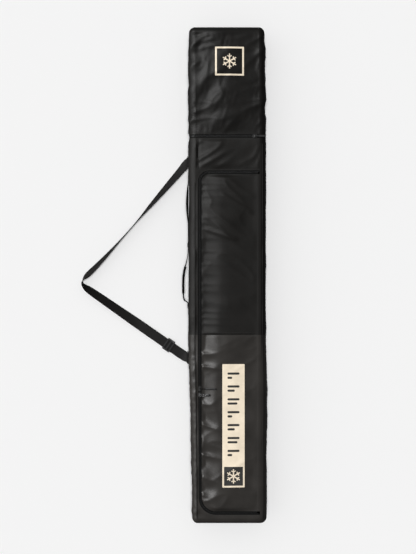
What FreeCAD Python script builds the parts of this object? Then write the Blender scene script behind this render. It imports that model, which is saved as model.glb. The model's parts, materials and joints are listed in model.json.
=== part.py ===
"""Padded double ski bag lying on its back: shell panels, opening front flap, hood,
zippers with sliders and pulls, side webbing with a grab handle, and a shoulder strap.

Units are millimetres. X runs across the bag, Y along it towards the hood, Z up.
The origin is on the back face, under the middle of the bag.
"""
import FreeCAD, Part
import math
import os

V = FreeCAD.Vector

# ---- driving dimensions -------------------------------------------------------
LENGTH = 1900.0          # whole bag, base to top of hood
HALF_W = 147.0           # half the width of the shell
HEIGHT = 134.0           # thickness of the filled bag
R_BACK = 50.0            # section corner radius towards the back face
R_FRONT = 25.0           # section corner radius towards the front face
R_END = 22.0             # rounding of the two closed ends
Y_END = LENGTH / 2
Y_HOOD = 531.0           # plane of the zipper between body and hood
Y_FABRIC_SEAM = -228.0   # light cloth above, coated cloth below

T_FABRIC = 1.5           # outer cloth
T_FOAM = 5.0             # closed-cell padding
T_LINING = 1.0           # inner cloth
T_WALL = T_FABRIC + T_FOAM + T_LINING
X_FLAT = HALF_W - R_FRONT      # the front is flat between -X_FLAT and X_FLAT
X_BACK_FLAT = HALF_W - R_BACK  # the back is flat between -X_BACK_FLAT and X_BACK_FLAT

# ---- C-shaped main zipper and the flap inside it ------------------------------
X_ZIP = -106.0           # long run of the zipper, down the left of the front
Y_ZIP_TOP = 393.0
Y_ZIP_BOTTOM = -908.0
R_ZIP_TOP = 36.0
R_ZIP_BOTTOM = 62.0
X_HINGE = X_FLAT - 1.0   # the flap turns on its right-hand seam
X_FLAP_RIGHT = X_HINGE - 2.0

# ---- zipper section, measured from its centre line ----------------------------
COIL_IN = 0.6            # half the gap between the two rows of coil
COIL_OUT = 3.5
COIL_H = 3.0
FABRIC_EDGE = 8.0        # cloth stops here, tape shows inside it
TAPE_OUT = 15.5
ZIP_END_GAP = 4.0        # the flap's coil and tape stop this short of its hinged edge
TAPE_T = 1.0
FOAM_EDGE = 16.5
LINING_EDGE = 4.5
Z_TAPE = HEIGHT - T_FABRIC - TAPE_T   # underside of the tape on the front
GAP = 0.3                # running clearance of sliders and rings

# ---- sliders ------------------------------------------------------------------
SLIDER_L = 18.0
SLIDER_HALF_W = 6.0
PLATE_T = 1.7
PLATE_CORNER_R = 3.5
LOWER_PLATE_T = 1.4      # under the tape
CHANNEL_HALF_L = 7.0     # half the length that grips the coils
FLANGE_INSET = 0.6
BAR_R = 1.2              # round bridge bar that the pull hangs on
BAR_RISE = 3.9           # bar axis above the top plate
BAR_HALF_L = 6.5         # half the bar's length where it runs along the slider
BAR_HALF_ACROSS = 4.4    # and where it crosses it
BAR_LEG_HALF_L = 1.2     # half-sizes of the bar's two legs
BAR_LEG_HALF_W = 1.6
Z_PLATE = Z_TAPE + COIL_H + GAP
Z_BAR = Z_PLATE + PLATE_T + BAR_RISE
PULL_UPPER_L = 62.0
PULL_SHORT_L = 38.0
PULL_DROOP = 3.0         # degrees, so that its tip nearly rests on the cloth
EYE_R = 3.4              # outside of the pull's eye
EYE_HALF_W = 2.0
EYE_SLACK = 0.5          # between the eye and the bar
NECK_END = 16.0
NECK_HALF_T = 1.5
GRIP_HALF_W = 3.8
GRIP_HALF_T = 1.9
GRIP_EDGE_R = 1.5
Y_SLIDER_UP = -433.0
Y_SLIDER_LOW = -457.0
X_SLIDER_HOOD = 104.0

# ---- labels -------------------------------------------------------------------
LABEL_T = 0.8
LABEL_X = (-19.0, 72.0)
LABEL_Y = (-809.0, -339.0)
EMBLEM_MIDDLE = (7.0, 816.0)
EMBLEM_HALF = 55.0       # half the square outline
EMBLEM_LINE = 6.5
EMBLEM_ARM = 24.0        # six-armed mark inside the outline
EMBLEM_ARM_HALF_W = 2.6

# ---- left side webbing and grab handle ----------------------------------------
WEB_T = 2.0
SIDE_WEB_W = 25.0
Z_SIDE_WEB = 78.0
X_WALL = -HALF_W
TACK_Y = (400.0, 356.0, 198.0, 117.0)     # bar tacks of the side webbing
LOOP_BULGE = 9.0                          # how far its loose bay stands off
LOOP_STEPS = 8
TACK_INSET = 5.0                          # tacks sit this far past the loose bay
TACK_HALF = 2.0
TACK_T = 0.8
TAB_L = 22.0                              # tab that holds the handle's lower end
TAB_GAP = 2.0                             # from the handle's end to its tab
HANDLE_TOP = 108.0
HANDLE_BOTTOM = -104.0
HANDLE_REACH = 22.0
HANDLE_T = 5.0
HANDLE_AXIS_OUT = 6.0      # from the wall to the line that the handle swings on
HANDLE_END_R = 3.0
HANDLE_BEND_Y = (30.0, -78.0)             # where its slanted ends reach the grip
GRIP_PAST_BEND = (12.0, 8.0)

# ---- shoulder strap -----------------------------------------------------------
STRAP_W = 38.0
STRAP_T = 1.8
RING_Y = (440.0, -322.0)   # middles of the upper and lower rings
RING_W = 42.0              # clear width for the webbing
WIRE_R = 1.5
LOOP_IN = WIRE_R + GAP     # webbing folded round a ring's bar
LOOP_OUT = LOOP_IN + STRAP_T
X_PIVOT = -146.0           # inner bars of the rings, the line that the strap swings on
Z_PIVOT = 27.0
X_BAR = -154.5             # outer bars, which the strap is folded round
Z_BAR_OUT = 20.0
LIFT = 5.2                 # the buckle holds the webbing this far off the floor
RETURN_DROP = 2.1          # from the webbing to the layer that comes back under it
RUN_X = (-148.0, -568.0)   # the straight lower run, from the bag to the bend
RUN_Y = (-330.0, -38.0)
X_BUCKLE = -229.0
BUCKLE_L = 32.0
BUCKLE_W = 48.0
BUCKLE_BAR_T = 1.7
BUCKLE_SIDE_GAP = 0.9      # between the webbing's edge and the buckle's rails
BUCKLE_SLACK = 0.5         # between the webbing's faces and the bars
OVER_BAR_HALF = 2.5
UNDER_BAR_HALF = 2.0
UNDER_BAR_X = 7.0
RETURN_END_X = -180.0      # the returning layer stops here, near the lower ring
RETURN_END_RISE = 1.0
ANCHOR_Z = (12.0, 62.0)    # lowest and highest edge of a ring's sewn-on webbing

# ---- straps inside ------------------------------------------------------------
INNER_STRAP_Y = (260.0, -420.0)
INNER_STRAP_W = 25.0
INNER_STRAP_HALF = 88.0
INNER_BUCKLE_HALF_L = 22.0
INNER_BUCKLE_HALF_W = 17.0
INNER_BUCKLE_T = 5.0
INNER_SLOT_X = (4.0, 15.0)     # its two slots, one each side of the middle bar
INNER_SLOT_HALF_W = 13.5

OUT = "parts"


# ---- helpers ------------------------------------------------------------------
def box(x0, x1, y0, y1, z0, z1):
    return Part.makeBox(x1 - x0, y1 - y0, z1 - z0, V(x0, y0, z0))


def save(name, shape):
    """Write one sub-part, and stop if it isn't made of closed solids."""
    if not shape.Solids or not all(s.isValid() for s in shape.Solids):
        raise RuntimeError("bad solid: " + name)
    solids = shape.Solids
    keep = solids[0] if len(solids) == 1 else Part.makeCompound(solids)
    keep.exportStep(os.path.join(OUT, name + ".step"))
    print(name, len(solids), round(sum(s.Volume for s in solids)), flush=True)


def rod(a, b, radius):
    return Part.makeCylinder(radius, (b - a).Length, a, b - a)


def section(inset):
    """Cross-section of the bag in the XZ plane, a rectangle with four round corners."""
    w, z0, z1 = HALF_W - inset, inset, HEIGHT - inset
    rb, rf = R_BACK - inset, R_FRONT - inset
    h = math.sqrt(0.5)

    def arc(cx, cz, r, sx, sz, start, end):
        return Part.Arc(V(*start), V(cx + sx * r * h, 0, cz + sz * r * h), V(*end)).toShape()

    def line(a, b):
        return Part.makeLine(V(*a), V(*b))

    xb, xf, zb, zf = w - rb, w - rf, z0 + rb, z1 - rf
    edges = [
        line((-xb, 0, z0), (xb, 0, z0)),
        arc(xb, zb, rb, 1, -1, (xb, 0, z0), (w, 0, zb)),
        line((w, 0, zb), (w, 0, zf)),
        arc(xf, zf, rf, 1, 1, (w, 0, zf), (xf, 0, z1)),
        line((xf, 0, z1), (-xf, 0, z1)),
        arc(-xf, zf, rf, -1, 1, (-xf, 0, z1), (-w, 0, zf)),
        line((-w, 0, zf), (-w, 0, zb)),
        arc(-xb, zb, rb, -1, -1, (-w, 0, zb), (-xb, 0, z0)),
    ]
    return Part.Wire(edges)


def envelope(inset):
    """The whole bag as one block, inset from its outer skin, with both ends rounded."""
    y0 = -Y_END + inset
    face = Part.Face(section(inset))
    face.translate(V(0, y0, 0))
    block = face.extrude(V(0, LENGTH - 2 * inset, 0))
    ends = [e for e in block.Edges
            if abs(e.BoundBox.YMax - e.BoundBox.YMin) < 0.01]
    return block.makeFillet(R_END - inset, ends)


def flap_outline(d, z0, z1, right=X_FLAP_RIGHT):
    """Block with the flap's outline, a distance d inside the zipper's centre line."""
    x0, y0, y1 = X_ZIP + d, Y_ZIP_BOTTOM + d, Y_ZIP_TOP - d
    rt, rb = R_ZIP_TOP - d, R_ZIP_BOTTOM - d
    h = 1 - math.sqrt(0.5)
    points = [V(right, y0, z0), V(right, y1, z0), V(x0 + rt, y1, z0), V(x0, y1 - rt, z0),
              V(x0, y0 + rb, z0), V(x0 + rb, y0, z0)]
    edges = [
        Part.makeLine(points[0], points[1]),
        Part.makeLine(points[1], points[2]),
        Part.Arc(points[2], V(x0 + rt * h, y1 - rt * h, z0), points[3]).toShape(),
        Part.makeLine(points[3], points[4]),
        Part.Arc(points[4], V(x0 + rb * h, y0 + rb * h, z0), points[5]).toShape(),
        Part.makeLine(points[5], points[0]),
    ]
    return Part.Face(Part.Wire(edges)).extrude(V(0, 0, z1 - z0))


def stretch(shape, y0, y1):
    """The part of a shape between two planes across the bag."""
    return shape.common(box(-400, 400, y0, y1, -10, HEIGHT + 10))


# ---- shell of the body --------------------------------------------------------
FRONT_ZONE = box(-X_FLAT, X_FLAT, -Y_END - 5, Y_END + 5, HEIGHT - T_WALL - 2, HEIGHT + 5)
Y_BASE = -Y_END + R_END          # the base cap ends here
BACK_ZONE = box(-X_BACK_FLAT, X_BACK_FLAT, Y_BASE, Y_END, -5, T_WALL + 5)
LEFT_ZONE = box(-400, 0, -Y_END - 5, Y_END + 5, -10, HEIGHT + 10)
RIGHT_ZONE = box(0, 400, -Y_END - 5, Y_END + 5, -10, HEIGHT + 10)


def shell_layers():
    """Outer cloth, padding and lining of the body, each one a hollow block."""
    insets = (0.0, T_FABRIC, T_FABRIC + T_FOAM, T_WALL)
    blocks = [envelope(i) for i in insets]
    return [blocks[i].cut(blocks[i + 1]) for i in range(3)], blocks


def build_body(layers):
    cloth, foam, lining = layers
    rest = cloth.cut(FRONT_ZONE)
    y_cloth = Y_HOOD - FABRIC_EDGE
    save("base_cap", stretch(cloth, -Y_END - 1, Y_BASE))
    save("back_panel", stretch(rest.common(BACK_ZONE), Y_BASE, y_cloth))
    sides = rest.cut(BACK_ZONE)
    for side, zone, y_top in (("left", LEFT_ZONE, y_cloth),
                              ("right", RIGHT_ZONE, Y_HOOD - COIL_IN)):
        wall = sides.common(zone)
        save(side + "_side_lower", stretch(wall, Y_BASE, Y_FABRIC_SEAM))
        upper = stretch(wall, Y_FABRIC_SEAM, y_top)
        if side == "right":
            upper = upper.cut(box(0, X_FLAT, y_cloth, Y_HOOD, -5, HEIGHT))
        save(side + "_side_upper", upper)

    soft = foam.cut(FRONT_ZONE)
    y_foam = Y_HOOD - FOAM_EDGE
    save("base_foam", stretch(foam, -Y_END, Y_BASE))
    save("back_foam", stretch(soft.common(BACK_ZONE), Y_BASE, y_foam))
    walls = soft.cut(BACK_ZONE)
    save("left_foam", stretch(walls.common(LEFT_ZONE), Y_BASE, y_foam))
    save("right_foam", stretch(walls.common(RIGHT_ZONE), Y_BASE, y_foam))

    inner = lining.cut(FRONT_ZONE)
    y_lining = Y_HOOD - LINING_EDGE
    save("body_lining", stretch(inner, -Y_END, y_lining))


def front_plate(y0, y1, z0, z1, d):
    """Part of the fixed front: the flat front less the flap's cut-out."""
    plate = box(-X_FLAT, X_FLAT, y0, y1, z0, z1)
    return plate.cut(flap_outline(-d, z0 - 1, z1 + 1, right=X_FLAT + 1))


def build_front():
    z_cloth = HEIGHT - T_FABRIC
    split_top = Y_ZIP_TOP - R_ZIP_TOP
    split_low = Y_ZIP_BOTTOM + R_ZIP_BOTTOM
    y_cloth = Y_HOOD - FABRIC_EDGE
    save("front_top_strip", front_plate(split_top, y_cloth, z_cloth, HEIGHT, FABRIC_EDGE))
    save("front_left_strip", front_plate(split_low, split_top, z_cloth, HEIGHT, FABRIC_EDGE))
    save("front_bottom_strip", front_plate(Y_BASE, split_low, z_cloth, HEIGHT, FABRIC_EDGE))
    save("front_top_foam", front_plate(Y_ZIP_TOP + FOAM_EDGE, Y_HOOD - FOAM_EDGE,
                                       z_cloth - T_FOAM, z_cloth, FOAM_EDGE))
    save("front_lining", front_plate(Y_BASE, Y_HOOD - LINING_EDGE,
                                     HEIGHT - T_WALL, HEIGHT - T_WALL + T_LINING, LINING_EDGE))


def build_flap():
    z_cloth = HEIGHT - T_FABRIC
    cloth = flap_outline(FABRIC_EDGE, z_cloth, HEIGHT)
    save("flap_upper_panel", stretch(cloth, Y_FABRIC_SEAM, Y_END))
    save("flap_lower_panel", stretch(cloth, -Y_END, Y_FABRIC_SEAM))
    save("flap_foam", flap_outline(FOAM_EDGE, z_cloth - T_FOAM, z_cloth))
    save("flap_lining", flap_outline(LINING_EDGE, HEIGHT - T_WALL, z_cloth - T_FOAM))


# ---- zippers ------------------------------------------------------------------
def build_main_zipper():
    z_tape, z_coil = Z_TAPE + TAPE_T, Z_TAPE + COIL_H
    inside, outside = X_FLAP_RIGHT - ZIP_END_GAP, X_FLAT - 1.0

    def band(a, b, z1, right):
        outer = flap_outline(a, Z_TAPE, z1, right)
        return outer.cut(flap_outline(b, Z_TAPE - 1, z1 + 1, right + 5))

    save("main_zip_coil_flap", band(COIL_IN, COIL_OUT, z_coil, inside))
    save("main_zip_tape_flap", band(COIL_OUT, TAPE_OUT, z_tape, inside))
    save("main_zip_coil_frame", band(-COIL_OUT, -COIL_IN, z_coil, outside))
    save("main_zip_tape_frame", band(-TAPE_OUT, -COIL_OUT, z_tape, outside))


def ring_band(outer, y0, y1):
    """A band round the section at the hood joint, left open along the right side."""
    band = stretch(outer, y0, y1).cut(envelope(T_FABRIC + TAPE_T))
    return band.cut(box(X_FLAT, 400, y0 - 1, y1 + 1, -10, HEIGHT + 10))


def build_hood_zipper(blocks):
    """Coils stand as high as the cloth beside them, and the tapes lie under it."""
    skin, under_cloth = blocks[:2]
    for name, side in (("body", -1), ("hood", 1)):
        near, middle, far = (Y_HOOD + side * d for d in (COIL_IN, COIL_OUT, TAPE_OUT))
        save("hood_zip_coil_" + name, ring_band(skin, min(near, middle), max(near, middle)))
        save("hood_zip_tape_" + name, ring_band(under_cloth, min(middle, far), max(middle, far)))


def build_hood(cloth):
    y0 = Y_HOOD + FABRIC_EDGE
    y_cap = Y_END - R_END
    save("hood_end_cap", stretch(cloth, y_cap, Y_END + 1))
    save("hood_front", stretch(cloth.common(FRONT_ZONE), y0, y_cap))
    rest = cloth.cut(FRONT_ZONE)
    save("hood_back", stretch(rest.common(BACK_ZONE), y0, y_cap))
    sides = rest.cut(BACK_ZONE)
    save("hood_left_gusset", stretch(sides.common(LEFT_ZONE), y0, y_cap))
    right = stretch(sides.common(RIGHT_ZONE), Y_HOOD + COIL_IN, y_cap)
    save("hood_right_gusset",
         right.cut(box(0, X_FLAT, Y_HOOD, y0, -5, HEIGHT)))


# ---- sliders and pulls --------------------------------------------------------
def slider(bar_across=False):
    """Slider at the origin. It runs along Y, and +X is the side of the moving tape."""
    half_l, channel = SLIDER_L / 2, CHANNEL_HALF_L
    plate = box(-SLIDER_HALF_W, SLIDER_HALF_W, -half_l, half_l, Z_PLATE, Z_PLATE + PLATE_T)
    upright = [e for e in plate.Edges if e.Length < PLATE_T + 0.01]
    plate = plate.makeFillet(PLATE_CORNER_R, upright)
    blade_half = COIL_IN - GAP
    z_low = Z_TAPE - GAP - LOWER_PLATE_T
    blade = box(-blade_half, blade_half, -channel, channel, z_low, Z_PLATE)
    flange = box(COIL_OUT + GAP, SLIDER_HALF_W - FLANGE_INSET, -channel, channel,
                 Z_TAPE + TAPE_T + GAP, Z_PLATE)
    lower = box(-blade_half, SLIDER_HALF_W, -channel, channel, z_low, Z_TAPE - GAP)
    end = V(BAR_HALF_ACROSS, 0, 0) if bar_across else V(0, BAR_HALF_L, 0)
    middle = V(0, 0, Z_BAR)
    half_x, half_y = BAR_LEG_HALF_W, BAR_LEG_HALF_L
    if bar_across:
        half_x, half_y = half_y, half_x
    legs = [box(e.x - half_x, e.x + half_x, e.y - half_y, e.y + half_y, Z_PLATE, Z_BAR + BAR_R)
            for e in (end, end * -1)]
    return plate.multiFuse([blade, flange, lower, rod(middle - end, middle + end, BAR_R)] + legs)


def pull(length, droop):
    """Pull at the origin: an eye round the bridge bar and a cord-and-grip along +X."""
    half_w = EYE_HALF_W
    eye = rod(V(0, -half_w, 0), V(0, half_w, 0), EYE_R)
    eye = eye.cut(rod(V(0, -half_w - 1, 0), V(0, half_w + 1, 0), BAR_R + EYE_SLACK))
    neck = box(EYE_R - 0.6, NECK_END, -half_w, half_w, -NECK_HALF_T, NECK_HALF_T)
    grip = box(NECK_END - 1, length, -GRIP_HALF_W, GRIP_HALF_W, -GRIP_HALF_T, GRIP_HALF_T)
    long_edges = [e for e in grip.Edges if e.Length > 20]
    grip = grip.makeFillet(GRIP_EDGE_R, long_edges)
    shape = eye.fuse(neck).fuse(grip)
    shape.rotate(V(0, 0, 0), V(0, 1, 0), droop)
    return shape


def placed(shape, x, y, z, turn=0.0):
    shape = shape.copy()
    shape.rotate(V(0, 0, 0), V(0, 0, 1), turn)
    shape.translate(V(x, y, z))
    return shape


def build_sliders():
    for name, y, length in (("upper", Y_SLIDER_UP, PULL_UPPER_L),
                            ("lower", Y_SLIDER_LOW, PULL_SHORT_L)):
        save("main_slider_" + name, placed(slider(), X_ZIP, y, 0))
        save("main_pull_" + name, placed(pull(length, PULL_DROOP), X_ZIP, y, Z_BAR))
    save("hood_slider", placed(slider(bar_across=True), X_SLIDER_HOOD, Y_HOOD, 0, 90))
    save("hood_pull", placed(pull(PULL_SHORT_L, PULL_DROOP), X_SLIDER_HOOD, Y_HOOD, Z_BAR))


# ---- labels -------------------------------------------------------------------
def build_labels():
    z0, z1 = HEIGHT, HEIGHT + LABEL_T
    save("front_label", box(*LABEL_X, *LABEL_Y, z0, z1))
    cx, cy = EMBLEM_MIDDLE
    half, inner = EMBLEM_HALF, EMBLEM_HALF - EMBLEM_LINE
    outline = box(cx - half, cx + half, cy - half, cy + half, z0, z1)
    window = box(cx - inner, cx + inner, cy - inner, cy + inner, z0 - 1, z1 + 1)
    arms = [box(-EMBLEM_ARM, EMBLEM_ARM, -EMBLEM_ARM_HALF_W, EMBLEM_ARM_HALF_W, z0, z1)
            for _ in range(3)]
    for i, arm in enumerate(arms):
        arm.rotate(V(0, 0, 0), V(0, 0, 1), 60.0 * i + 30)
        arm.translate(V(cx, cy, 0))
    mark = arms[0].multiFuse(arms[1:])
    save("hood_emblem", Part.makeCompound([outline.cut(window), mark]))


# ---- left side webbing and handle ---------------------------------------------
def band_from(points, thickness, z0, z1):
    """Webbing on edge: a polyline in plan, given thickness away from the wall."""
    outer = [V(x - thickness, y, z0) for x, y in points]
    inner = [V(x, y, z0) for x, y in reversed(points)]
    wire = Part.makePolygon(outer + inner + [outer[0]])
    return Part.Face(wire).extrude(V(0, 0, z1 - z0))


def build_side_webbing():
    x0 = X_WALL
    half = SIDE_WEB_W / 2
    z0, z1 = Z_SIDE_WEB - half, Z_SIDE_WEB + half
    top, tack_a, tack_b, end = TACK_Y
    points = [(x0, top), (x0, tack_a)]
    for i in range(1, LOOP_STEPS):
        share = i / LOOP_STEPS
        bulge = LOOP_BULGE * math.sin(math.pi * share)
        points.append((x0 - bulge, tack_a + (tack_b - tack_a) * share))
    points += [(x0, tack_b), (x0, end)]
    save("side_webbing", band_from(points, WEB_T, z0, z1))
    tacks = [box(x0 - WEB_T - TACK_T, x0 - WEB_T, y - TACK_HALF, y + TACK_HALF,
                 z0 + TACK_HALF, z1 - TACK_HALF)
             for y in (tack_a + TACK_INSET, tack_b - TACK_INSET, end + TACK_INSET)]
    save("webbing_bar_tacks", Part.makeCompound(tacks))
    low = HANDLE_BOTTOM - TAB_GAP
    tabs = [box(x0 - WEB_T, x0, y0, y1, z0, z1)
            for y0, y1 in ((HANDLE_TOP + TAB_GAP, end - GAP), (low - TAB_L, low))]
    save("handle_tabs", Part.makeCompound(tabs))


def build_handle():
    """Grab handle: round ends that turn against the wall, and a flat padded grip."""
    x_axis = X_WALL - HANDLE_AXIS_OUT
    x_out = X_WALL - HANDLE_REACH
    half = SIDE_WEB_W / 2
    bend_top, bend_low = HANDLE_BEND_Y
    ends = [rod(V(x_axis, y, Z_SIDE_WEB), V(x_out, bend, Z_SIDE_WEB), HANDLE_END_R)
            for y, bend in ((HANDLE_TOP, bend_top), (HANDLE_BOTTOM, bend_low))]
    knobs = [Part.makeSphere(HANDLE_END_R, V(x_axis, y, Z_SIDE_WEB))
             for y in (HANDLE_TOP, HANDLE_BOTTOM)]
    grip = box(x_out - HANDLE_T / 2, x_out + HANDLE_T / 2,
               bend_low - GRIP_PAST_BEND[1], bend_top + GRIP_PAST_BEND[0],
               Z_SIDE_WEB - half, Z_SIDE_WEB + half)
    save("grab_handle", grip.multiFuse(ends + knobs))


# ---- shoulder strap -----------------------------------------------------------
def run_point(x):
    """A point of the straight lower run."""
    share = (x - RUN_X[0]) / (RUN_X[1] - RUN_X[0])
    return x, RUN_Y[0] + share * (RUN_Y[1] - RUN_Y[0])


# Middle line of the webbing from the upper ring to the lower one: X, Y, the lean of
# the webbing (0 on its edge, 90 flat, and signed by the side it tips to), and how far
# its lowest edge is off the floor.
STRAP_ROUTE = [
    (-172.0, 419.5, -56.0, 6.0), (-196.0, 391.5, -48.0, 1.5), (-232.0, 350.0, -40.0, 0.3),
    (-290.0, 283.0, -26.0, 0.3), (-353.0, 210.0, -10.0, 0.3), (-417.0, 137.0, 8.0, 0.3),
    (-473.0, 75.0, 26.0, 0.3), (-517.0, 29.0, 38.0, 0.3), (-546.0, 1.0, 34.0, 0.3),
    (-562.0, -16.0, 14.0, 0.3), (-566.0, -29.0, 6.0, 0.3), (-558.0, -42.0, 22.0, 0.3),
    (-538.0, -58.8, 44.0, 0.3), (-490.0, -92.2, 54.0, 0.3), (-430.0, -133.9, 62.0, 0.3),
    (-370.0, -175.7, 74.0, 2.0), (*run_point(-312.0), 84.0, LIFT),
    (*run_point(-186.0), 84.0, LIFT),
]
END_UPPER = V(X_BAR - 1.0, RING_Y[0], Z_BAR_OUT - LOOP_IN - STRAP_T / 2)
END_LOWER = V(X_BAR - 1.0, RING_Y[1] - 1.5, Z_BAR_OUT - LOOP_IN - STRAP_T / 2)


def strap_frames():
    """Centre, direction, width and normal of the webbing at each point of its route."""
    plan = [V(x, y, 0) for x, y, lean, lift in STRAP_ROUTE]
    plan = [END_UPPER] + plan + [END_LOWER]
    frames = []
    for i, (x, y, lean, lift) in enumerate(STRAP_ROUTE, 1):
        along = plan[i + 1] - plan[i - 1]
        along = V(along.x, along.y, 0)
        along.normalize()
        lean = math.radians(lean)
        wide = V(0, 0, math.cos(lean)) + V(along.y, -along.x, 0) * math.sin(lean)
        normal = along.cross(wide)
        if normal.z < 0:
            normal = normal * -1
        height = STRAP_W / 2 * abs(wide.z) + STRAP_T / 2 * abs(normal.z) + lift
        frames.append((V(x, y, height), along, wide, normal))
    flat = (V(-1, 0, 0), V(0, -1, 0), V(0, 0, 1))
    return [(END_UPPER,) + flat] + frames + [(END_LOWER,) + flat]


def webbing(frames, drop=0.0):
    """Webbing through the given frames, lowered by a distance along its normal."""
    wires = []
    for centre, along, wide, normal in frames:
        c = centre - normal * drop
        corners = [c + wide * (sw * STRAP_W / 2) + normal * (sn * STRAP_T / 2)
                   for sw, sn in ((1, 1), (-1, 1), (-1, -1), (1, -1))]
        wires.append(Part.makePolygon(corners + [corners[0]]))
    return Part.makeLoft(wires, True, True)


def bar_at(x, y, z, radius, length):
    return rod(V(x, y - length / 2, z), V(x, y + length / 2, z), radius)


def ring(y):
    half = RING_W / 2 + WIRE_R
    corners = [V(X_PIVOT, y - half, Z_PIVOT), V(X_PIVOT, y + half, Z_PIVOT),
               V(X_BAR, y + half, Z_BAR_OUT), V(X_BAR, y - half, Z_BAR_OUT)]
    bars = [rod(corners[i], corners[(i + 1) % 4], WIRE_R) for i in range(4)]
    return bars[0].multiFuse(bars[1:] + [Part.makeSphere(WIRE_R, c) for c in corners])


def ring_anchor(y, skin):
    """Webbing sewn to the side wall and folded round the inner bar of a ring."""
    half = STRAP_W / 2
    outer = Part.Face(section(-WEB_T))
    outer.translate(V(0, y - half, 0))
    patch = outer.extrude(V(0, STRAP_W, 0))
    patch = patch.common(box(-200, -100, y - half - 1, y + half + 1, *ANCHOR_Z))
    fold = bar_at(X_PIVOT, y, Z_PIVOT, LOOP_OUT, STRAP_W)
    return patch.fuse(fold).cut(skin).cut(bar_at(X_PIVOT, y, Z_PIVOT, LOOP_IN, STRAP_W + 4))


def build_strap(skin):
    frames = strap_frames()
    folds, fold_blocks = [], []
    for y in (END_UPPER.y, END_LOWER.y):
        block = bar_at(X_BAR, y, Z_BAR_OUT, LOOP_OUT, STRAP_W)
        fold_blocks.append(block)
        folds.append(block.cut(bar_at(X_BAR, y, Z_BAR_OUT, LOOP_IN, STRAP_W + 4)))
    save("strap_end_folds", Part.makeCompound(folds))

    strap = webbing(frames)
    full = strap.Volume
    for block in fold_blocks:
        strap = strap.cut(block)
    save("shoulder_strap_webbing", strap)
    centres = [f[0] for f in frames]
    length = sum((b - a).Length for a, b in zip(centres, centres[1:]))
    print("strap length", round(length), "volume share",
          round(full / (length * STRAP_W * STRAP_T), 3))

    buckle_x, buckle_y = run_point(X_BUCKLE)
    straight = frames[-2]
    middle = V(buckle_x, buckle_y, straight[0].z)
    near = (V(*run_point(X_BUCKLE + 2), straight[0].z),) + straight[1:]
    last = (V(*run_point(RETURN_END_X), straight[0].z + RETURN_END_RISE),) + straight[1:]
    save("strap_return_layer", webbing([near, straight, last], RETURN_DROP))
    save("strap_buckle", buckle(middle, *straight[1:]))

    for name, y in (("upper", RING_Y[0]), ("lower", RING_Y[1])):
        save("strap_ring_" + name, ring(y))
        save("strap_anchor_" + name, ring_anchor(y, skin))


def buckle(centre, along, wide, normal):
    """Ladder-shaped slider: bars over and under the webbing, joined at both sides."""
    half_l, half_w = BUCKLE_L / 2, BUCKLE_W / 2
    inside = STRAP_W / 2 + BUCKLE_SIDE_GAP
    top = STRAP_T / 2 + BUCKLE_SLACK
    bottom = -(RETURN_DROP + STRAP_T / 2 + BUCKLE_SLACK)
    bar = BUCKLE_BAR_T
    rails = [box(-half_l, half_l, min(s * inside, s * half_w), max(s * inside, s * half_w),
                 bottom - bar, top + bar) for s in (-1, 1)]
    end_x = half_l - OVER_BAR_HALF
    over = [box(x - OVER_BAR_HALF, x + OVER_BAR_HALF, -half_w, half_w, top, top + bar)
            for x in (-end_x, 0, end_x)]
    under = [box(x - UNDER_BAR_HALF, x + UNDER_BAR_HALF, -half_w, half_w, bottom - bar, bottom)
             for x in (-UNDER_BAR_X, UNDER_BAR_X)]
    shape = rails[0].multiFuse(rails[1:] + over + under).removeSplitter()
    across = normal.cross(along)
    matrix = FreeCAD.Matrix(along.x, across.x, normal.x, centre.x,
                            along.y, across.y, normal.y, centre.y,
                            along.z, across.z, normal.z, centre.z, 0, 0, 0, 1)
    return shape.transformGeometry(matrix)


# ---- straps inside ------------------------------------------------------------
def build_inner_straps():
    """Two webbing straps that lie on the back lining, each with a flat buckle."""
    half = INNER_STRAP_W / 2
    z_top = T_WALL + WEB_T
    straps, buckles = [], []
    for y in INNER_STRAP_Y:
        straps.append(box(-INNER_STRAP_HALF, INNER_STRAP_HALF, y - half, y + half, T_WALL, z_top))
        frame = box(-INNER_BUCKLE_HALF_L, INNER_BUCKLE_HALF_L,
                    y - INNER_BUCKLE_HALF_W, y + INNER_BUCKLE_HALF_W, z_top, z_top + INNER_BUCKLE_T)
        for x0, x1 in (INNER_SLOT_X, (-INNER_SLOT_X[1], -INNER_SLOT_X[0])):
            frame = frame.cut(box(x0, x1, y - INNER_SLOT_HALF_W, y + INNER_SLOT_HALF_W,
                                  z_top - 1, z_top + INNER_BUCKLE_T + 1))
        buckles.append(frame)
    save("inner_tie_straps", Part.makeCompound(straps))
    save("inner_tie_buckles", Part.makeCompound(buckles))


def main():
    os.makedirs(OUT, exist_ok=True)
    layers, blocks = shell_layers()
    build_body(layers)
    build_front()
    build_flap()
    build_main_zipper()
    build_hood_zipper(blocks)
    build_hood(layers[0])
    build_sliders()
    build_labels()
    build_side_webbing()
    build_handle()
    build_strap(blocks[0])
    build_inner_straps()


if __name__ == "__main__":
    main()
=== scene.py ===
"""Looks for a padded double ski bag that lies on its back, seen from straight above."""
import json
import math

import bpy
import numpy as np
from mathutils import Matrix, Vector
from mathutils.bvhtree import BVHTree


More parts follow.
